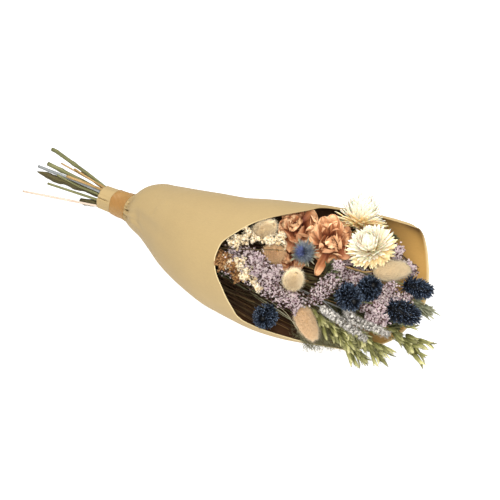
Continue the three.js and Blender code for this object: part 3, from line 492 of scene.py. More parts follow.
WOOL = plant("woolly spike", [(0, 92, 88, 74), (0.5, 204, 200, 192), (1, 252, 250, 246)],
             0.9, 0.0, sheen=0.1, hues=[(0, 96, 96, 80), (0.25, 176, 170, 168),
                                        (0.5, 255, 252, 250), (1, 255, 253, 248)])
OAT = plant("oat husk", [(0, 84, 84, 46), (0.5, 142, 141, 90), (0.9, 196, 193, 150),
                         (1, 120, 104, 62)], 0.55, 0.3, 22,
            hues=[(0, 170, 168, 136), (0.5, 232, 232, 212), (1, 255, 252, 240)])
WISP = plant("grey grass", [(0, 96, 92, 62), (0.6, 136, 132, 98), (1, 196, 190, 158)], 0.8, 0.45)
LEAF = plant("dark leaf", [(0, 46, 46, 28), (0.6, 66, 70, 44), (1, 100, 102, 70)], 0.6, 0.35, 12)
GREY_LEAF = plant("grey leaf", [(0, 104, 106, 82), (0.6, 136, 138, 112), (1, 164, 162, 136)],
                  0.7, 0.3, 12)


# ------------------------------------------------------------------ paper sleeve and tape
def angle_from(deg, a):
    """How far deg is from the angle a, the short way round."""
    return (deg - a + 180) % 360 - 180


def bump_at(x, deg, at_x, at_deg, wide_x, wide_deg):
    return np.exp(-((x - at_x) / wide_x) ** 2 - (angle_from(deg, at_deg) / wide_deg) ** 2)


def rise(x, a, b):
    """0 before a, 1 after b, smooth between."""
    t = np.clip((x - a) / (b - a), 0, 1)
    return t * t * (3 - 2 * t)


# Folds: x from, x to, angle, half width in degrees, depth in mm; a minus sign makes a ridge.
FOLDS = [
    (-40, -19, 145, 2.6, 2.4), (-40, -19, 128, 5, 0.4), (-40, -20, 184, 5, 0.5),
    (-2, 9, 172, 3.5, 3.4), (-2, 10, 152, 4, 2.2), (-2, 8, 140, 4, 1.8), (-2, 8, 126, 4, 2.2),
    (-2, 10, 162, 3, -0.9), (-2, 9, 188, 5, 2.2), (-2, 12, 112, 5, 1.6), (8, 44, 168, 4, 0.7),
    (14, 60, 178, 5, -0.6), (10, 50, 120, 6, 0.5), (30, 110, 196, 5, 0.6), (40, 130, 104, 6, -0.5),
    (30, 120, 150, 9, 0.8), (50, 190, 126, 8, -0.7), (60, 200, 108, 7, 0.6), (20, 90, 138, 7, -0.5),
]


def wrinkle(x, deg):
    """How far the sheet stands off its plain form, in mm."""
    rad = np.radians(deg)
    gather = np.exp(-((x - 5) / 7.0) ** 2)
    out = gather * (0.7 * np.cos(13 * rad + 0.5) + 0.5 * np.cos(19 * rad + 2.1)) * rise(x, -2, 2)
    out += 0.2 * np.cos(7 * rad + 1) * (1 - rise(x, -24, -18))
    for x0, x1, a, wide, deep in FOLDS:
        length = rise(x, x0, x0 + 3) * (1 - rise(x, (x0 + x1) / 2, x1))
        out -= deep * np.exp(-(angle_from(deg, a) / wide) ** 2) * length
    swell = np.sin(x / 31.0 + 1.3 * np.sin(rad)) * np.sin(2 * rad + x / 70.0)
    out += 0.5 * swell * np.clip(x / 60, 0, 1)
    out -= 2.4 * bump_at(x, deg, 22, 156, 9, 12)      # the dent by the shoulder
    out += 0.9 * bump_at(x, deg, 42, 128, 14, 20)
    return out


def on_ring(x, cy, mid, r, rad):
    """Points at the angles rad on rounds of radius r."""
    return np.stack(np.broadcast_arrays(x, cy + r * np.cos(rad), mid + r * np.sin(rad)), axis=-1)


def sleeve_point(x, deg, inset):
    """Points on the sheet, inset from its outer face and never under the table."""
    cy, r, mid, lift = section(x)
    p = on_ring(x, cy, mid, r + wrinkle(x, deg) - inset, np.radians(deg))
    p[..., 2] = np.maximum(p[..., 2], lift + inset + 0.05)
    return p


def there_and_back(out, back):
    """Rows along one face of a sheet, back along the other, and the first row again."""
    return np.concatenate([out, back[::-1], out[:1]])[None]


def weld(obj):
    """Joins the last row of a sheet to its first."""
    obj.modifiers.new("weld", "WELD").merge_threshold = 1e-6


SLEEVE_ROWS, SLEEVE_SIDES, TAPE_SIDES, TAPE_ROWS = 130, 300, 96, 18


def sleeve():
    """The sheet: its marks are the painted shade inside it, the rim and the inner face."""
    around = np.linspace(SEAM, SEAM + 360, SLEEVE_SIDES + 1)
    angles = np.unique(np.concatenate([around, MOUTH[:, 0]]))[:-1]
    ends = smooth(MOUTH, angles, 1)
    x = NECK_END + (ends - NECK_END) * np.linspace(0, 1, SLEEVE_ROWS)[:, None] ** 1.1
    deg = np.broadcast_to(angles, x.shape)
    lap = np.where((deg > -50) & (deg < -18), 0.45, 0.0)       # the sheet laps over itself
    to_edge = ends - x
    curl = 2.4 * np.exp(-(to_edge / 5.0) ** 2) * rise(deg, -10, 20) * (1 - rise(deg, 46, 80))
    bead = 0.25 * np.exp(-(to_edge / 0.6) ** 2)                # the folded rim is a little thicker
    rim = np.exp(-(to_edge / 0.8) ** 2) * (1 - 0.95 * rise(deg, 5, 25) * (1 - rise(deg, 88, 112)))
    # painted shade on the inner face: darker deep inside and in a band under the far top rim,
    # lighter again by the low front rim
    depth = np.maximum(1 - rise(x, 225, 300), bump_at(x, deg, 292, 34, 14, 14))
    depth = depth * (1 - 0.8 * rise(-to_edge, -26, -3) * rise(deg, 198, 212))
    b = Build()
    b.grid(there_and_back(sleeve_point(x, deg, curl - lap - bead),
                          sleeve_point(x, deg, curl + PAPER + bead)),
           there_and_back(depth, depth), there_and_back(rim, rim),
           there_and_back(np.zeros(SLEEVE_ROWS), np.ones(SLEEVE_ROWS))[..., None], closed=True)
    weld(b.make("paper_sleeve_sheet", KRAFT, "kraft_paper", ["paper_sleeve"]))


def tape():
    """The band, thin at both edges, with small folds."""
    a = np.radians(np.linspace(0, 360, TAPE_SIDES + 1)[:-1])
    x = np.array([TAPE_FROM, TAPE_FROM, *np.linspace(TAPE_FROM + 0.6, TAPE_TO - 0.6, TAPE_ROWS),
                  TAPE_TO, TAPE_TO])[:, None]
    thick = np.ones_like(x)
    thick[[0, -1]] = 0.25
    fold = 0.3 * np.sin(5 * a + x / 2.5) + 0.16 * np.sin(17 * a - x)
    lap = np.where((a > 2.0) & (a < 2.9), 0.25, 0.0)           # the end laps over the start
    cy, r, mid, _ = section(x)
    waved = x + 0.35 * np.sin(5 * a) * (np.abs(x - (TAPE_FROM + TAPE_TO) / 2) / 9)
    b = Build()
    b.grid(there_and_back(on_ring(waved, cy, mid, r + thick * (0.62 + fold * 0.8 + lap), a),
                          on_ring(waved, cy, mid, r + 0.1, a)),
           0.0, 0.0, 0.5 + 0.5 * np.sin(3 * a + 1), closed=True)
    weld(b.make("tape_wrap", TAPE, "paper_tape", ["tape_band"]))


# ------------------------------------------------------------------ stems
def cad_points(node):
    """The points of a CAD node, in the layout's mm, and its triangles."""
    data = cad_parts[node].data
    data.calc_loop_triangles()
    p, t = np.zeros(len(data.vertices) * 3), np.zeros(len(data.loop_triangles) * 3, int)
    data.vertices.foreach_get("co", p)
    data.loop_triangles.foreach_get("vertices", t)
    return p.reshape(-1, 3) / MM - TIE, t.reshape(-1, 3)


def route(node, until):
    """The stem's middle line up to x = until, from slices through the CAD solid."""
    p, t = cad_points(node)
    edges = np.concatenate([t[:, [0, 1]], t[:, [1, 2]], t[:, [2, 0]]])
    a, b = p[edges[:, 0]], p[edges[:, 1]]
    line = []
    for x in np.append(np.arange(p[:, 0].min() + 0.4, until - 4, 5.0), until - 1.5):
        hit = (a[:, 0] - x) * (b[:, 0] - x) < 0
        s = ((x - a[hit, 0]) / (b[hit, 0] - a[hit, 0]))[:, None]
        line.append((a[hit] + (b[hit] - a[hit]) * s).mean(axis=0))
    return np.array(line)


STEM_LOOK = {"bunny_tail_4": PALE_STEM, "thistle": GREY_STEM, "leaf_1": DARK_STEM,
             "leaf_2": DARK_STEM}
# Radius of the stem under a head, by kind or by name.
GIRTH = {"tail": 0.95, "straw": 1.3, "bloom": 2.0, "thistle": 1.6, "seed": 1.0,
         "bunny_tail_4": 1.15, "peach_bloom_2": 2.1, "peach_bloom_3": 1.7}
# Stems whose cut ends are gnarled: how much thicker they are there, how far they wave and how
# much they thin out to the very end.
GNARLED = {"leaf_1": (1.0, 0.6, 0.4), "leaf_2": (0.6, 0.3, -0.3)}


def stalk(b, line, r0, r1, rng, sides, name=""):
    """A stalk with slight waves in its girth and a few knots."""
    n = max(24, int(np.linalg.norm(np.diff(line, axis=0), axis=1).sum() / 3))
    p = curve(line, n)
    s = np.linspace(0, 1, n)
    r = (r0 + (r1 - r0) * s) * (1 + 0.05 * np.sin(s * rng.uniform(20, 40) + rng.uniform(0, 6)))
    for knot in rng.uniform(0.03, 0.9, 3):
        r = r * (1 + 0.28 * np.exp(-((s - knot) / 0.008) ** 2))
    if name in GNARLED:
        more, swing, thin = GNARLED[name]
        x, beat = p[:, 0], p[:, 0] / 3.1
        end, tip = 1 - rise(x, -46, -34), rise(x, x[0], x[0] + 18)
        knobs = 0.16 * np.sin(beat) + 0.1 * np.sin(2.3 * beat)
        r = r * (1 + end * (more * tip - thin * (1 - tip) + knobs))
        p = p + UPWARD * (swing * end * tip * np.sin(x / 4.4 + 2))[:, None]
    b.tube(p, r, sides, rng.uniform(0.2, 0.9), rib=0.04, along=s)


def head_stems():
    """Each head's own stem, from its cut end through the tie to the foot of the head."""
    for i, (name, (kind, at, face, _, length)) in enumerate(HEADS.items()):
        d, girth = unit(face), GIRTH.get(name, GIRTH[kind])
        foot = np.array(at) - d * (length / 2 + 0.3)
        start = foot - 9 * d
        line = np.concatenate([route(f"{name}_stem", start[0]), [start, foot + 0.8 * d]])
        b = Build()
        stalk(b, line, girth * 1.04, girth * 0.84, np.random.default_rng(STEM_SEED + i), 12)
        look, slot = ((STRAW_STEM, "straw_stem") if kind in ("tail", "straw") else
                      (GREEN_STEM, "green_stem"))
        b.make(f"{name}_stalk", STEM_LOOK.get(name, look), slot, [f"{name}_stem"])


LOOSE_STRAWS = (("golden", STRAW_STEM, "straw_stem", 44), ("olive", GREEN_STEM, "green_stem", 14),
                ("dark", CALYX, "green_stem", 62))
MOST_TRIES = 4000


def loose_straws():
    """Thin dry stalks between the stems, from the tie into the mouth. Every other one lies low
    by the near wall."""
    for label, look, slot, count in LOOSE_STRAWS:
        rng = np.random.default_rng(len(label) + STRAW_SEED)
        b = Build()
        for _ in range(MOST_TRIES):
            near = count % 2 == 0
            x = np.array([14.0, rng.uniform(70, 110), rng.uniform(150, 240 if near else 290)])
            turn = rng.uniform(3.3, 4.3) if near else rng.uniform(0, 2 * np.pi)
            turn = turn + np.array([0, 0, rng.uniform(-0.4, 0.4)])
            cy, r, mid, _ = section(x)
            off = r * (rng.uniform(0.6, 0.92) if near else rng.uniform(0.1, 0.82))
            path = curve(on_ring(x, cy, mid, off * [0.5, 0.9, 1.0], turn), 40)
            if clear(path, 1, 0.6).all() and path[-1, 2] < 92:
                b.tube(path, np.linspace(rng.uniform(0.5, 1.0), 0.3, 40), 6, rng.uniform(0.2, 1),
                       rib=0.04)
                count -= 1
            if not count:
                break
        b.make(f"loose_straws_{label}", look, slot)


# ------------------------------------------------------------------ flower heads
def petals(b, root, axis, out, length, width, tilt, bend, cup, outline, rng, rows=8, cols=5,
           ruffle=0.0, waves=2.0):
    """Thin petals. Each leaves its root at an angle tilt from axis towards out, turns by bend
    on its way, is hollowed by cup and ruffled along its rim. Angles are in degrees."""
    k = len(root)
    s, v = np.linspace(0, 1, rows), np.linspace(-1, 1, cols)
    phi = np.radians(tilt)[:, None] + np.radians(bend)[:, None] * s
    mid = (phi[:, 1:] + phi[:, :-1]) / 2
    step = (length / (rows - 1))[:, None]
    up, away = (np.concatenate([np.zeros((k, 1)), np.cumsum(f(mid) * step, axis=1)],
                               axis=1)[..., None] for f in (np.cos, np.sin))
    centre = root[:, None] + up * axis[:, None] + away * out[:, None]
    inner = np.sin(phi)[..., None] * axis[:, None] - np.cos(phi)[..., None] * out[:, None]
    side = np.cross(axis, out)
    w = (width[:, None] * outline(s))[..., None]
    phase, beat = rng.uniform(0, 6.28, (k, 1, 1)), rng.uniform(4, 8, (k, 1, 1))
    s = s[:, None]
    wave = ruffle * np.sin(phase + beat * s + waves * v) * s**1.5 * (0.35 + np.abs(v))
    lift = cup[:, None, None] * w * v**2 + wave
    b.grid(centre[:, :, None] + side[:, None, None] * (w * v)[..., None]
           + inner[:, :, None] * lift[..., None], s, v, rng.uniform(0, 1, k)[:, None, None])


def ring_of(centre, d, count, r, h, turn, rng, jitter):
    """Roots, axes and outward ways of count petals round the line from centre along d."""
    a = 2 * np.pi * (np.arange(count) + turn + rng.uniform(-jitter, jitter, count)) / count
    out = turned(d, a)
    return centre + d * h + out * r, np.broadcast_to(d, (count, 3)), out


def base_under(b, c, way, places, r, shares, sides):
    """The rod that closes a head from below: places along way, shares of the radius r."""
    b.tube(c + way * np.array(places)[:, None], r * np.array(shares), sides)


def lance(s):
    """Widest a third of the way up, ending in a point."""
    return np.maximum(0.35 * (1 - s) + 1.9 * s**0.7 * (1 - s) ** 0.75, 0.03)


def blade(s):
    """Widest past the middle, ending in a short point."""
    return np.maximum(0.45 * (1 - s) + 1.75 * s**1.1 * (1 - s) ** 0.62, 0.03)


def spoon(s):
    """Narrow at the root, broad and round at the end."""
    return np.maximum(np.minimum(0.25 + 1.15 * s, 1.0) * np.sqrt(np.maximum(1 - s**7, 0.06)), 0.05)


# Tiers of bracts: number, root height, tilt, bend, length, half width in mm. strawflower_1 is a
# dome over a flat skirt, strawflower_2 is shut over its centre.
STRAW_TIERS = {
    "strawflower_1": [
        (34, -1.15, 102, -10, 0.94, 2.9), (38, -1.1, 91, -4, 1.12, 3.1),
        (38, -1.05, 81, -4, 1.12, 3.1), (30, -1.0, 68, -12, 1.04, 3.2),
        (28, -0.95, 57, -22, 1.12, 3.5), (28, -0.9, 48, -26, 1.18, 3.7),
        (26, -0.85, 39, -28, 1.22, 3.9), (24, -0.8, 29, -25, 1.26, 3.9),
        (20, -0.75, 19, -18, 1.26, 3.9), (12, -0.7, 8, -8, 1.26, 3.9)],
    "strawflower_2": [
        (30, -0.4, 92, -6, 0.74, 2.5), (32, -0.3, 84, -6, 0.86, 2.6),
        (32, -0.2, 76, -8, 0.92, 2.6), (32, -0.15, 68, -10, 0.92, 2.6),
        (30, -0.1, 60, -16, 0.88, 2.8), (30, -0.05, 54, -44, 0.84, 3.2),
        (28, 0, 48, -60, 0.82, 3.5), (26, 0.05, 40, -66, 0.8, 3.6),
        (22, 0.1, 32, -66, 0.76, 3.6), (18, 0.15, 22, -56, 0.72, 3.6),
        (12, 0.2, 12, -36, 0.66, 3.6)],
}
OUTER_TIERS, SKIRT_TIERS = 3, 5      # the first are the darker outer bracts, then the dome starts
SHUT = {"strawflower_2": -1.5 * ACROSS + 1.2 * UPWARD}      # how far the closed dome stands aside


def straw_head(name, c, d, r, length, rng):
    """Stiff bracts in many tiers."""
    h = length / 2
    inner, outer = Build(), Build()
    for k, (count, low, tilt, bend, reach, wide) in enumerate(STRAW_TIERS[name]):
        at = c + (SHUT.get(name, 0) if k >= SKIRT_TIERS else 0)
        root, axis, out = ring_of(at, d, count, (0.2 - 0.015 * k) * r, low * h, k * 0.5, rng, 0.3)
        petals(outer if k < OUTER_TIERS else inner, root, axis, out,
               reach * r * rng.uniform(0.86, 1.04, count), wide * rng.uniform(0.8, 1.1, count),
               tilt + rng.uniform(-6, 6, count), bend + rng.uniform(-8, 8, count),
               rng.uniform(0.1, 0.4, count), blade, rng, ruffle=0.3)
    base_under(outer, c, d * h, (-1, -0.6, -0.2, 0.1), r, (0.14, 0.26, 0.22, 0.02), 14)
    outer.make(f"{name}_outer_bracts", STRAW_OUTER, "strawflower", thick=0.2)
    inner.make(f"{name}_bracts", STRAW, "strawflower", [name], thick=0.2)


# Long petals that stand out of a bloom: the way they go (across, upward, facing), length, half
# width and how far forward they start.
LONG_PETALS = {
    "peach_bloom_2": [((-0.42, -0.9, 0.12), 33, 4.6, 3), ((-0.35, 0.93, 0.3), 24, 7.5, 0),
                      ((0.05, 1, 0.2), 24, 7, 0), ((-0.7, 0.7, 0.4), 22, 6.5, 0),
                      ((0.75, -0.66, 0.3), 22, 6.5, 0), ((0.35, 0.9, 0.35), 20, 6.5, 0)],
}


def tuck(b):
    """Moves those points back under the paper that would pierce it from below."""
    for p in b.points:
        (cy, r, mid, _), (dy, dz, s), edge = place_in_sleeve(p)
        by = np.where(p[:, 0] < edge, np.minimum(1, (r - UNDER_PAPER) / s), 1)
        p[:, 1], p[:, 2] = cy + dy * by, mid + dz * by


# Tiers of petals: number, root height, tilt, bend, length, half width, ruffle.
OPEN_TIERS = [(7, -0.6, 84, 6, 1.04, 0.56, 3.4), (6, -0.35, 66, 4, 0.95, 0.52, 3.4),
              (4, -0.1, 44, -6, 0.62, 0.36, 2.6), (3, 0, 15, -10, 0.4, 0.2, 1.6)]
FULL_TIERS = [(6, -0.7, 90, 16, 0.98, 0.52, 3.4), (5, -0.45, 66, 6, 1.0, 0.54, 3.8),
              (5, -0.25, 44, 2, 0.9, 0.46, 3.6), (4, -0.1, 22, -6, 0.72, 0.36, 3.0),
              (3, 0, 8, -15, 0.5, 0.24, 2.0)]
BLOOM_TIERS = {"peach_bloom_1": OPEN_TIERS, "peach_bloom_2": FULL_TIERS,
               "peach_bloom_3": FULL_TIERS}


def bloom_head(name, c, d, r, length, rng):
    """Soft, ruffled petals that all bend their own way."""
    h = length / 2
    b = Build()
    for k, (count, low, tilt, bend, reach, wide, ruffle) in enumerate(BLOOM_TIERS[name]):
        root, axis, out = ring_of(c, d, count, 0.12 * r, low * h, k * 0.47, rng, 0.35)
        petals(b, root, axis, out, reach * r * rng.uniform(0.78, 1.08, count),
               wide * r * rng.uniform(0.75, 1.15, count), tilt + rng.uniform(-18, 18, count),
               bend + rng.uniform(-42, 42, count), rng.uniform(0.3, 1.0, count), spoon, rng,
               15, 15, ruffle, 6.5)
    for way, reach, wide, forward in LONG_PETALS.get(name, []):
        way = unit([np.array(way) @ np.array([ACROSS, UPWARD, FACING])])
        axis = unit(FACING - (FACING @ way[0]) * way)
        tilt, bend, cup = 68.0, 34.0, 0.8
        petals(b, c - 2 * d + 3 * way + forward * FACING, axis, way,
               *np.array([[reach], [wide], [tilt], [bend], [cup]]), spoon, rng, 14, 13, 2.0, 5.0)
    base_under(b, c, d * h, (-1, -0.75, -0.3, 0.1), r, (0.1, 0.2, 0.17, 0.02), 14)
    tuck(b)
    b.make(f"{name}_petals", PEACH, "peach_petal", [name], thick=0.25, levels=1)


# A rounded head: place from foot to tip, share of its radius there.
ROUND_HEAD = np.array([[0, 0.2], [0.05, 0.5], [0.2, 0.74], [0.42, 0.8], [0.64, 0.68],
                       [0.82, 0.42], [0.93, 0.12]])


def on_head(c, d, r, length, t, a):
    """Points and outward normals on a rounded head, t from foot to tip, a round it."""
    q = smooth(ROUND_HEAD, t, 1) * r
    rising = smooth(ROUND_HEAD, t + 0.01, 1) - smooth(ROUND_HEAD, t - 0.01, 1)
    out = turned(d, a)
    return (c + d * ((t - 0.5) * length)[:, None] + out * q[:, None],
            unit(out - d * (rising * r / (0.02 * length))[:, None]))


def add_core(b, c, d, r, length, last, n, sides, tone, along):
    """The solid heart of a rounded head."""
    t = np.linspace(0.01, last, n)
    b.tube(c + d * ((t - 0.5) * length)[:, None], smooth(ROUND_HEAD, t, 1) * r, sides, tone,
           along=along)


# Two coats of hair: number, lowest place, how far they stand off, length, thickness.
FUR_COATS = ((6800, 0.02, (0.4, 0.85), (2.4, 4.4), 0.12),
             (2000, 0.04, (0.6, 1.2), (4.4, 7.4), 0.075))


def tail_head(name, c, d, r, length, rng):
    """A soft oval head under two coats of hair."""
    b = Build()
    add_core(b, c, d, 0.96 * r, length, 0.9, 14, 18, 0.3, 0.25)
    for n, first, stand, size, width in FUR_COATS:
        t = first + (0.92 - first) * rng.uniform(0, 1, n) ** 0.9
        p, normal = on_head(c, d, r, length, t, rng.uniform(0, 2 * np.pi, n))
        way = unit(normal * rng.uniform(*stand, n)[:, None] + d * 0.8 + 0.28 * random_dirs(rng, n))
        b.hairs(p - normal * 0.4, way, rng.uniform(*size, n), width, rng.uniform(0, 1, n))
    look = {"bunny_tail_2": TAIL_WARM, "bunny_tail_4": TAIL_PEACH}.get(name, TAIL)
    b.make(f"{name}_fur", look, "bunny_tail", [name])


def husk_template():
    """A closed, narrow, boat-shaped husk along +Z with its back towards +X."""
    pts, along = [(0, 0, 0)], [0.0]
    for z, half, deep in ((0.3, 0.11, 0.12), (0.65, 0.08, 0.12)):
        pts += [(0.02, -half, z), (deep, 0, z), (0.02, half, z)]
        along += [z] * 3
    i, j = np.array([1, 2, 3]), np.array([2, 3, 1])
    ends = np.concatenate([fan(0, j, i), fan(7, 3 + i, 3 + j)])
    return (np.array(pts + [(0.04, 0, 1)]), [ends, np.stack([i, j, 3 + j, 3 + i], axis=1)],
            np.array(along + [1.0]), np.array([0, -1, 0, 1, -1, 0, 1, 0]))


HUSK = husk_template()
HUSKS = 520
GOLDEN_ANGLE = 2.39996


def seed_head(name, c, d, r, length, rng):
    """Overlapping husks in spirals."""
    b, core = Build(), Build()
    r = r * (0.84 if name == "canary_grass_5" else 1)
    add_core(core, c, d, 0.7 * r, length, 0.88, 12, 14, 0.1, 0.0)
    i = np.arange(HUSKS)
    turn = i * GOLDEN_ANGLE + rng.uniform(-0.2, 0.2, HUSKS)
    p, normal = on_head(c, d, r, length, 0.03 + 0.85 * (i + 0.5) / HUSKS, turn)
    z = unit(d * 0.6 + normal * rng.uniform(0.7, 1.7, HUSKS)[:, None]
             + 0.25 * random_dirs(rng, HUSKS))
    x = unit(normal - z * (normal * z).sum(1, keepdims=True))
    b.stamp(HUSK, p - normal * 2.8, axes(x, z), rng.uniform(5.2, 8.2, HUSKS),
            rng.uniform(0, 1, HUSKS) ** 1.4)
    core.make(f"{name}_core", SEED, "navy_seed_head")
    b.make(f"{name}_husks", SEED, "navy_seed_head", [name])


SPINES = 1300
# Rings of the ruff: number, tilt, length, half width in mm.
RUFF = ((12, 104, 1.3, 0.9), (10, 84, 1.25, 0.8), (8, 62, 1.15, 0.6))


def thistle_head(name, c, d, r, length, rng):
    """A ball of spines, violet on one side, over a ruff of pointed bracts."""
    h = length / 2
    ball, ruff = Build(), Build()
    heart = c + d * 0.15 * r
    ball.tube(heart + d * (np.linspace(-0.4, 0.4, 9) * r)[:, None],
              0.36 * r * np.sin(np.pi * np.linspace(0.06, 0.94, 9)), 12, 0.2, along=0.0)
    w = random_dirs(rng, SPINES)
    w = w[(w @ d) > -0.6]
    k = len(w)
    violet = (w @ unit(d - 0.75 * ACROSS)) > 0.72
    ball.hairs(heart + w * 0.25 * r, unit(w + 0.12 * random_dirs(rng, k)),
               r * np.where(violet, 0.72, 0.98) * rng.uniform(0.7, 1.08, k), 0.24,
               np.where(violet, rng.uniform(0.7, 1, k), rng.uniform(0, 0.6, k)))
    for count, tilt, reach, wide in RUFF:
        root, axis, out = ring_of(c, d, count, 0.25 * r, -0.5 * h, 0.3, rng, 0.4)
        petals(ruff, root, axis, out, reach * r * rng.uniform(0.7, 1.1, count),
               np.full(count, wide), tilt + rng.uniform(-12, 12, count),
               rng.uniform(-20, 25, count), np.full(count, 0.7), lance, rng, 7, 3, 0.4)
    base_under(ruff, c, d * h, (-1, -0.7, -0.35), r, (0.14, 0.3, 0.34), 12)
    ball.make(f"{name}_spines", THISTLE_BALL, "thistle")
    ruff.make(f"{name}_ruff", THISTLE_RUFF, "thistle", [name], thick=0.2)


MAKE_HEAD = {"tail": tail_head, "seed": seed_head, "straw": straw_head, "bloom": bloom_head,
             "thistle": thistle_head}


# ------------------------------------------------------------------ sprays
def clear_of_heads(p, margin=0.5):
    """Which points keep out of every flower head."""
    ok = np.ones(len(p), bool)
    for kind, at, face, r, length in HEADS.values():
        d = unit(face)
        q = p - np.array(at)
        high = q @ d
        wide = np.linalg.norm(q - high[:, None] * d, axis=1)
        core = {"straw": 0.9, "bloom": 0.8, "thistle": 1.1}.get(kind, 0.95)
        ok &= (wide / (core * r + margin)) ** 2 + (high / (length / 2 + margin)) ** 2 > 1
    return ok


def clear_of_paper(p, margin=0.8):
    """Which points are inside the sleeve, or past its free edge, and above the table."""
    (_, r, _, lift), (_, _, s), edge = place_in_sleeve(p)
    inside = (s < r - 1 - margin) & (p[:, 2] > lift + 0.7 + margin)
    return (inside | (p[:, 0] > edge) | (s > r + margin)) & (p[:, 2] > margin)


def clear(p, of_paper=0.8, of_heads=0.5):
    """Which points pass both tests, with these margins."""
    return clear_of_heads(p, of_heads) & clear_of_paper(p, of_paper)


def nearest_on(line, p):
    """Number of the line's point that is nearest to each p."""
    return np.argmin(((p[:, None] - line[None]) ** 2).sum(-1), axis=1)


def form_points(node, line, n, rng, spread, off=1.6):
    """Points scattered over the branches of a spray's CAD solid."""
    p, t = cad_points(node)
    fine = curve(line, 80)
    stem = np.concatenate([fine, curve(route(node, line[0][0] - 6), 300)])
    mid = p[t].mean(axis=1)
    away = [np.linalg.norm(mid - q[nearest_on(q, mid)], axis=1) for q in (stem, fine)]
    t = t[(away[0] > off) & (away[1] < 22)]
    a, b, c = p[t[:, 0]], p[t[:, 1]], p[t[:, 2]]
    cross = np.cross(b - a, c - a)
    area = np.linalg.norm(cross, axis=1)
    pick = rng.choice(len(t), n, p=area / area.sum())
    u, v = rng.uniform(0, 1, (2, n, 1))
    over = (u + v) > 1
    u, v = np.where(over, 1 - u, u), np.where(over, 1 - v, v)
    q = a[pick] + (b - a)[pick] * u + (c - a)[pick] * v
    q += (unit(cross[pick]) * rng.uniform(-0.3, 1, (n, 1)) * spread
          + random_dirs(rng, n) * 0.3 * spread)
    return q[clear(q)], fine


def frames_for(z, rng):
    """Axes whose third one is z, turned at random about it."""
    return axes(turned(z, rng.uniform(0, 2 * np.pi, len(z))), z)


def floret_template(lobes, rim, deep, notch):
    """A closed star-shaped funnel along +Z."""
    i = np.arange(2 * lobes)
    turn, at_tip = np.pi * i / lobes, i % 2 == 0
    far = np.where(at_tip, rim, rim * notch)
    star = np.stack([far * np.cos(turn), far * np.sin(turn),
                     np.where(at_tip, deep, 0.85 * deep)], axis=1)
    pts = np.concatenate([[[0, 0, 0], [0, 0, 0.55 * deep]], star])
    a, b = 2 + i, 2 + np.roll(i, -1)
    return (pts, [np.concatenate([fan(0, b, a), fan(1, a, b)])],
            np.array([0, 0.5] + [1.0, 0.7] * lobes), np.zeros(len(pts)))


# Florets: template, materials of floret and twig, slot, how many, how far from the CAD's
# branches, size, how many stand together in a clump and how wide that is.
FLORETS = {
    "lilac": (floret_template(5, 0.9, 1.3, 0.5), LILAC, CALYX, "limonium",
              1700, 4.6, 1.25, 1, 0.0),
    "cream": (floret_template(5, 1.0, 0.7, 0.42), CREAM, GREEN_STEM, "cream_floret",
              720, 3.6, 1.3, 6, 1.9),
    "brown": (floret_template(4, 0.9, 1.2, 0.6), BROWN, STRAW_STEM, "brown_floret",
              900, 4.2, 1.0, 4, 1.5),
}
# Plumes round the flowering line and on side twigs: reach in mm, florets, how far they stand
# (across, upward) from the line, twigs.
PLUMES = {
    "limonium_1": (12, 1250, (0, 1), []),
    "limonium_2": (10, 650, (0, 0), []),
    "limonium_3": (9, 1000, (0, 0), []),
    "limonium_4": (8, 700, (0, 0), [[(304, -31, 66), (317, -24, 77), (331, -17, 84)],
                                    [(300, -28, 64), (308, -24, 78), (314, -20, 92)]]),
    "limonium_5": (4.5, 240, (-9, 1), []),
    "limonium_6": (8, 700, (0, 0), [[(242, 4, 62), (262, -12, 74), (280, -22, 84)]]),
    "cream_1": (7.5, 1100, (1, 2), []),
    "cream_2": (5.5, 430, (4, 2), []),
    "brown_1": (7, 900, (2, 7), []),
}
TWIG_FLORETS, TWIG_REACH = 500, 7


def unhidden(p):
    """Which points don't stand in front of a flower head."""
    return np.all([clear_of_heads(p - back * FACING, 0) for back in (4, 8, 13, 19)], axis=0)


def spray_stem(name, line, r, rng, thin=0.45, fellows=3):
    """The spray's own stem, from its cut end to the tip of its flowering line, with fellows
    that leave it inside the sleeve and reach the flowers beside it."""
    low = route(name, line[0][0] - 6)
    b = Build()
    stalk(b, np.concatenate([low, line]), r * 1.04, r * thin, rng, 8, name)
    low = low[low[:, 0] > 70]
    for _ in range(fellows if len(low) > 4 else 0):
        end = line[rng.integers(0, len(line))] + rng.normal(size=3) * 3
        away = rng.normal(size=3) * [0, 3.5, 3.5] + [0, 0, 2]
        u = np.linspace(0, 1, len(low))[:, None]
        path = np.concatenate([low + away * np.sin(np.pi * 0.5 * u), [end]])
        if (clear_of_paper(path[1:-1], r).all() and clear_of_heads(path, 1).all()
                and end[0] > path[-2, 0]):
            b.tube(curve(path, 30), np.linspace(0.9 * r, 0.35 * r, 30) * rng.uniform(0.6, 1), 6,
                   rng.uniform(0, 1), rib=0.04)
    return b


def branchlets(b, tips, fine, rng, r, reach=0.9):
    """Fine curved stalks from the main line out to the given tips."""
    near = nearest_on(fine, tips)
    dist = np.linalg.norm(tips - fine[near], axis=1)
    total = np.linalg.norm(np.diff(fine, axis=0), axis=1).sum()
    last = len(fine) - 1
    for tip, k, away in zip(tips, near, dist):
        i = int(np.clip(k - reach * away / total * last, 0, last))
        onward = fine[min(i + 1, last)] - fine[max(i - 1, 0)]
        mid = (fine[i] + tip) / 2 + onward * 0.8 + rng.normal(size=3) * 0.4
        b.tube(curve([fine[i], mid, tip], 6), np.linspace(r, r * 0.6, 6), 4, rng.uniform(0, 1))


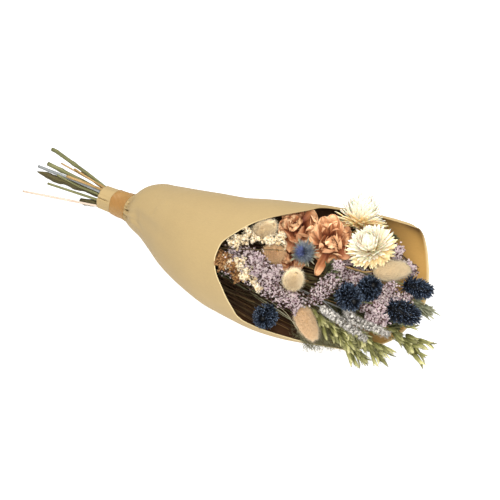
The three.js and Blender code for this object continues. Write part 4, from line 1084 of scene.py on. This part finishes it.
def floret_spray(name, r, line, rng):
    """Clumps of florets, each floret on its own short hair of a stalk."""
    template, look, twig_look, slot, count, spread, size, clump, wide = FLORETS[SPRAYS[name][0]]
    reach, extra, (right, high), twigs = PLUMES[name]
    aside = ACROSS * right + UPWARD * high
    tips, fine = form_points(name, line, count // clump, rng, spread)
    stem = spray_stem(name, line, r, rng)
    tips = tips + aside
    for path, n, far in [(fine, extra // clump, reach)] + [
            (curve(twig, 40), TWIG_FLORETS, TWIG_REACH) for twig in twigs]:
        if path is not fine:
            stem.tube(path, np.linspace(0.7, 0.3, 40), 6)
        more = path[rng.integers(6, len(path), n)] + aside
        more = more + random_dirs(rng, n) * rng.uniform(0.15, 1, (n, 1)) * far
        tips = np.concatenate([tips, more])
    tips = tips[clear(tips, 1.5 + wide) & unhidden(tips)]
    some = tips[::max(1, 8 // clump)]
    branchlets(stem, some[unhidden((some + fine[nearest_on(fine, some)]) / 2)], fine, rng, 0.25)
    back = fine[nearest_on(fine, tips)]
    way = unit(unit(tips - back) * 0.7 + unit(fine[-1] - fine[0]) * 0.35 + FACING * 0.45
               + 0.45 * random_dirs(rng, len(tips)))
    tips, way = np.repeat(tips, clump, axis=0), np.repeat(way, clump, axis=0)
    k = len(tips)
    off = random_dirs(rng, k) * rng.uniform(0.3, 1, (k, 1)) * wide
    tips, way = tips + off, unit(way + 0.35 * off + 0.2 * random_dirs(rng, k))
    stem.hairs(tips - way * 3.6, way, 3.8, 0.14, rng.uniform(0, 1, k))
    stem.make(f"{name}_twigs", twig_look, slot)
    b = Build()
    b.stamp(template, tips, frames_for(way, rng), size * rng.uniform(0.75, 1.2, k),
            rng.uniform(0, 1, k))
    b.make(f"{name}_florets", look, slot, [name])


WHORLS, SPIKE_FLORETS, SPIKE_HAIRS = 14, 520, 2300


def spike_spray(name, r, line, rng):
    """Woolly whorls on a spike."""
    stem = spray_stem(name, line, r, rng, fellows=1)
    stem.make(f"{name}_stalk", GREY_STEM, "lavender_wool")
    b = Build()
    fine = curve(line, 90)
    heading = unit(np.gradient(fine, axis=0))

    def scatter(n, lift, wide):
        """Places in the whorls, with the ways outward and onward there."""
        share = rng.integers(0, WHORLS, n) + 0.5 + rng.normal(0, 0.2, n)
        share = np.clip(share / WHORLS, 0.02, 0.99)
        i = (share * 89).astype(int)
        out = turned(heading[i], rng.uniform(0, 2 * np.pi, n))
        girth = wide * np.sin(np.pi * (0.12 + 0.8 * share)) ** 0.5
        return fine[i] + out * (girth * lift)[:, None], out, heading[i]

    n = SPIKE_FLORETS
    p, out, on = scatter(n, rng.uniform(0.7, 1.3, n), 2.6)
    way = unit(out * 0.8 + on * 0.7 + 0.5 * random_dirs(rng, n))
    b.stamp(FLORETS["lilac"][0], p - way * 0.8, frames_for(way, rng), rng.uniform(0.9, 1.8, n),
            rng.uniform(0, 1, n))
    n = SPIKE_HAIRS
    p, out, on = scatter(n, rng.uniform(0.6, 1.2, n), 2.5)
    b.hairs(p, unit(out + on * 0.9 + 0.7 * random_dirs(rng, n)), rng.uniform(1.2, 6, n), 0.1,
            rng.uniform(0.1, 1, n))
    b.tube(fine, 0.9 * np.sin(np.pi * np.linspace(0.1, 0.93, 90)) ** 0.5, 10, 0.1, along=0.05)
    b.make(f"{name}_wool", WOOL, "lavender_wool", [name])


# The husks of one spikelet: share of its length, half width.
SPIKELET = np.array([[1, 2.0], [0.94, 1.9], [0.75, 1.4], [0.6, 1.2]])
ON_BRANCHES, ALL_SPIKELETS, APART = 16, 28, 8        # how many at most, and mm between them
AWNS = 3


def oat_spray(name, r, line, rng):
    """Hanging spikelets of four husks and three awns, on the CAD's branches and between them."""
    stem = spray_stem(name, line, r, rng, 0.35)
    fine = curve(line, 60)
    left, _ = form_points(name, line, 400, rng, 0.4, off=3.0)
    heading = unit(np.array(line[-1]) - np.array(line[0]))
    spikelets = []
    while len(left) > 6 and len(spikelets) < ON_BRANCHES:
        tip = left[np.argmax(np.linalg.norm(left - fine[nearest_on(fine, left)], axis=1))]
        spikelets.append(tip)
        left = left[np.linalg.norm(left - tip, axis=1) > APART]
    for _ in range(90):
        if len(spikelets) == ALL_SPIKELETS:
            break
        start = fine[rng.integers(8, 60)]
        way = unit(heading + 0.75 * random_dirs(rng, 1)[0] + [0, -0.1, -0.1])
        tip = start + way * rng.uniform(13, 20)
        if (clear_of_paper(np.array([tip, (tip + start) / 2]), 1.2).all()
                and clear_of_heads(tip[None], 1)[0]):
            spikelets.append(tip)
    b = Build()
    plump, high = (1.4, 6) if name == "oats_3" else (1.05, 4.5)
    for tip in spikelets:
        tip = tip + UPWARD * high
        tip[2] = max(tip[2], 7)                       # none touches the table
        back = fine[max(nearest_on(fine, tip[None])[0] - 12, 0)]
        way = unit(unit(tip - back) + 0.5 * heading + np.array([0, -0.1, -0.15]))
        way[2] = max(way[2], (3 - tip[2]) / 10)
        foot = tip - way * 13
        branchlets(stem, foot[None], fine, rng, 0.28, 1.2)
        side = turned(way, rng.uniform(0, np.pi))
        front = np.cross(way, side)
        outs = unit(np.stack([side, -side, side * 0.4 + front, side * 0.2 - front]))
        k = len(outs)
        petals(b, np.repeat(foot[None], k, 0), np.repeat(way[None], k, 0), outs,
               rng.uniform(14, 19, k) * SPIKELET[:, 0], plump * SPIKELET[:, 1],
               rng.uniform(4, 15, k), rng.uniform(-4, 10, k), np.full(k, 0.85), lance, rng,
               9, 5, 0.15)
        b.hairs(np.repeat(tip[None] - way * 7, AWNS, 0),
                unit(way + [0, 0, 0.1] + 0.2 * random_dirs(rng, AWNS)),
                rng.uniform(12, 19, AWNS), 0.13, rng.uniform(0, 1, AWNS))
    stem.make(f"{name}_stalk", GREEN_STEM, "oat_husk")
    b.make(f"{name}_husks", OAT, "oat_husk", [name], thick=0.2)


WISP_HAIRS, TUFT_HAIRS = 120, 260


def wisp_spray(name, r, line, rng):
    """A tangle of hair-thin grass."""
    stem = spray_stem(name, line, r, rng, 0.4)
    tips, fine = form_points(name, line, 500, rng, 3.4, off=1.2)
    tips = tips[nearest_on(fine, tips) > 44][::2]
    branchlets(stem, tips[::4], fine, rng, 0.14, 1.1)
    n = WISP_HAIRS
    more = fine[rng.integers(50, 80, n)] + random_dirs(rng, n) * rng.uniform(1, 7, (n, 1))
    n = TUFT_HAIRS
    tuft = fine[-1] + rng.uniform(-1, 14, (n, 1)) * ACROSS - rng.uniform(-2, 13, (n, 1)) * UPWARD
    tuft = tuft + rng.uniform(-4, 4, (n, 1)) * FACING
    tips = np.concatenate([tips, more, tuft])
    tips = tips[clear(tips)]
    for _ in range(2):                       # each hair goes on in a new direction: curly
        way = unit(random_dirs(rng, len(tips)) + 0.7 * unit(ACROSS - UPWARD))
        size = rng.uniform(3, 7, len(tips))
        stem.hairs(tips, way, size, 0.22, rng.uniform(0, 1, len(tips)))
        tips = tips + way * size[:, None] * 0.7
    stem.make(f"{name}_hair", WISP, "grey_wisp", [name])


LEAF_GAP = 3.2


def leaf_spray(name, r, line, rng):
    """Narrow leaves and fine points on a twig."""
    stem = spray_stem(name, line, r, rng, 0.4)
    points, fine = form_points(name, line, 900, rng, 2.2, off=2.0)
    tips = []
    for p in points:
        if all(np.linalg.norm(p - q) > LEAF_GAP for q in tips):
            tips.append(p)
    tips, k = np.array(tips), len(tips)
    branchlets(stem, tips[::2], fine, rng, 0.4, 1.0)
    b = Build()
    i = nearest_on(fine, tips)
    heading = unit(np.gradient(fine, axis=0))[i]
    out = unit(tips - fine[i])
    side = unit(np.cross(out, FACING))
    slim, look = (0.6, GREY_LEAF) if name == "leaf_3" else (1.0, LEAF)
    petals(b, tips - out * 3, unit(heading + 0.5 * out),
           unit(np.cross(side, heading + 0.5 * out)), rng.uniform(9, 16, k),
           slim * rng.uniform(1.1, 2.6, k), rng.uniform(-30, 40, k), rng.uniform(-25, 40, k),
           rng.uniform(0.2, 0.6, k), lance, rng, ruffle=0.5)
    stem.hairs(tips, unit(heading + 0.9 * random_dirs(rng, k)), rng.uniform(8, 20, k), 0.14,
               rng.uniform(0, 1, k))
    stem.make(f"{name}_twig", STEM_LOOK.get(name, GREEN_STEM), "leaf")
    b.make(f"{name}_leaves", look, "leaf", [name], thick=0.25)


MAKE_SPRAY = {"lilac": floret_spray, "cream": floret_spray, "brown": floret_spray,
              "spike": spike_spray, "oats": oat_spray, "wisp": wisp_spray, "leaf": leaf_spray}


# ------------------------------------------------------------------ camera, floor and light
def camera():
    """The photograph's view, fitted to the outline of the sleeve."""
    azimuth, elevation, distance = math.radians(32), math.radians(42), 1800
    focus = np.array([200.0, 0, 50])                 # the layout point that the fit turned about
    focus_px = np.array([298.48, 262.92])            # where the photograph shows it
    focal_px, frame_px, sensor = 1861.6, 500, 36.0
    back = np.array([math.sin(azimuth) * math.cos(elevation),
                     -math.cos(azimuth) * math.cos(elevation), math.sin(elevation)])
    right = np.array([math.cos(azimuth), math.sin(azimuth), 0])
    up = np.cross(back, right)
    x, y = frame_px / 2 - focus_px
    aim = unit(-back * focal_px + right * x - up * y)
    side = unit(np.cross(aim, up))
    turn = Matrix([side, np.cross(side, aim), -aim]).transposed()
    data = bpy.data.cameras.new("camera")
    data.sensor_width = sensor
    data.lens = focal_px / frame_px * sensor
    data.clip_start, data.clip_end = 0.05, 100
    cam = put("camera", data)
    place = Vector((focus + TIE + back * distance) * MM)
    cam.matrix_world = Matrix.Translation(place) @ turn.to_4x4()
    bpy.context.scene.camera = cam


FLOOR_SIDE = 20.0                                    # half the floor's width, in metres
FLOOR_GREY, FLOOR_GLOW, WORLD_LIGHT = 0.36, 0.95, 0.4
WHITE = (1, 1, 1)
# Lamps: name, place, the point it looks at, width in metres, watts, colour.
LAMPS = [("key", (0.75, -0.95, 1.25), (0.05, 0, 0.05), 0.6, 31.5, (1, 0.985, 0.96)),
         ("top", (-0.35, 0.25, 1.6), (0, 0, 0.05), 0.9, 18.5, WHITE)]


def studio():
    """A white floor, a white sky and two soft lamps."""
    s = Shade("floor", 0.8, 0.1)
    white = s.finish(s.bright((FLOOR_GREY,) * 3 + (1,),
                              s.remap(s.noise(2.0), 0.3, 0.7, 0.99, 1.01)))
    s.main.inputs["Emission Color"].default_value = (*WHITE, 1)
    s.main.inputs["Emission Strength"].default_value = FLOOR_GLOW
    data = bpy.data.meshes.new("floor")
    corners = [(-1, -1), (1, -1), (1, 1), (-1, 1)]
    data.from_pydata([(x * FLOOR_SIDE, y * FLOOR_SIDE, 0) for x, y in corners], [], [(0, 1, 2, 3)])
    data.materials.append(white)
    floor = put("floor", data)
    world = bpy.data.worlds.new("studio")
    world.use_nodes = True
    sky = world.node_tree.nodes["Background"].inputs
    sky[0].default_value, sky[1].default_value = (*WHITE, 1), WORLD_LIGHT
    bpy.context.scene.world = world
    for name, at, aim, size, power, color in LAMPS:
        data = bpy.data.lights.new(name, "AREA")
        data.shape, data.size, data.energy, data.color = "DISK", size, power, color
        lamp = put(name, data)
        lamp.location = at
        lamp.rotation_euler = (Vector(aim) - Vector(at)).to_track_quat("-Z", "Y").to_euler()
    bpy.context.scene.view_settings.view_transform = "Standard"


# ------------------------------------------------------------------ putting it together
camera()
studio()
sleeve()
tape()
head_stems()
loose_straws()
for i, (name, (kind, at, face, r, length)) in enumerate(HEADS.items()):
    MAKE_HEAD[kind](name, np.array(at, float), unit(face), r, length,
                    np.random.default_rng(HEAD_SEED + i))
for i, (name, (kind, r, line)) in enumerate(SPRAYS.items()):
    MAKE_SPRAY[kind](name, r, np.array(line, float), np.random.default_rng(SPRAY_SEED + i))
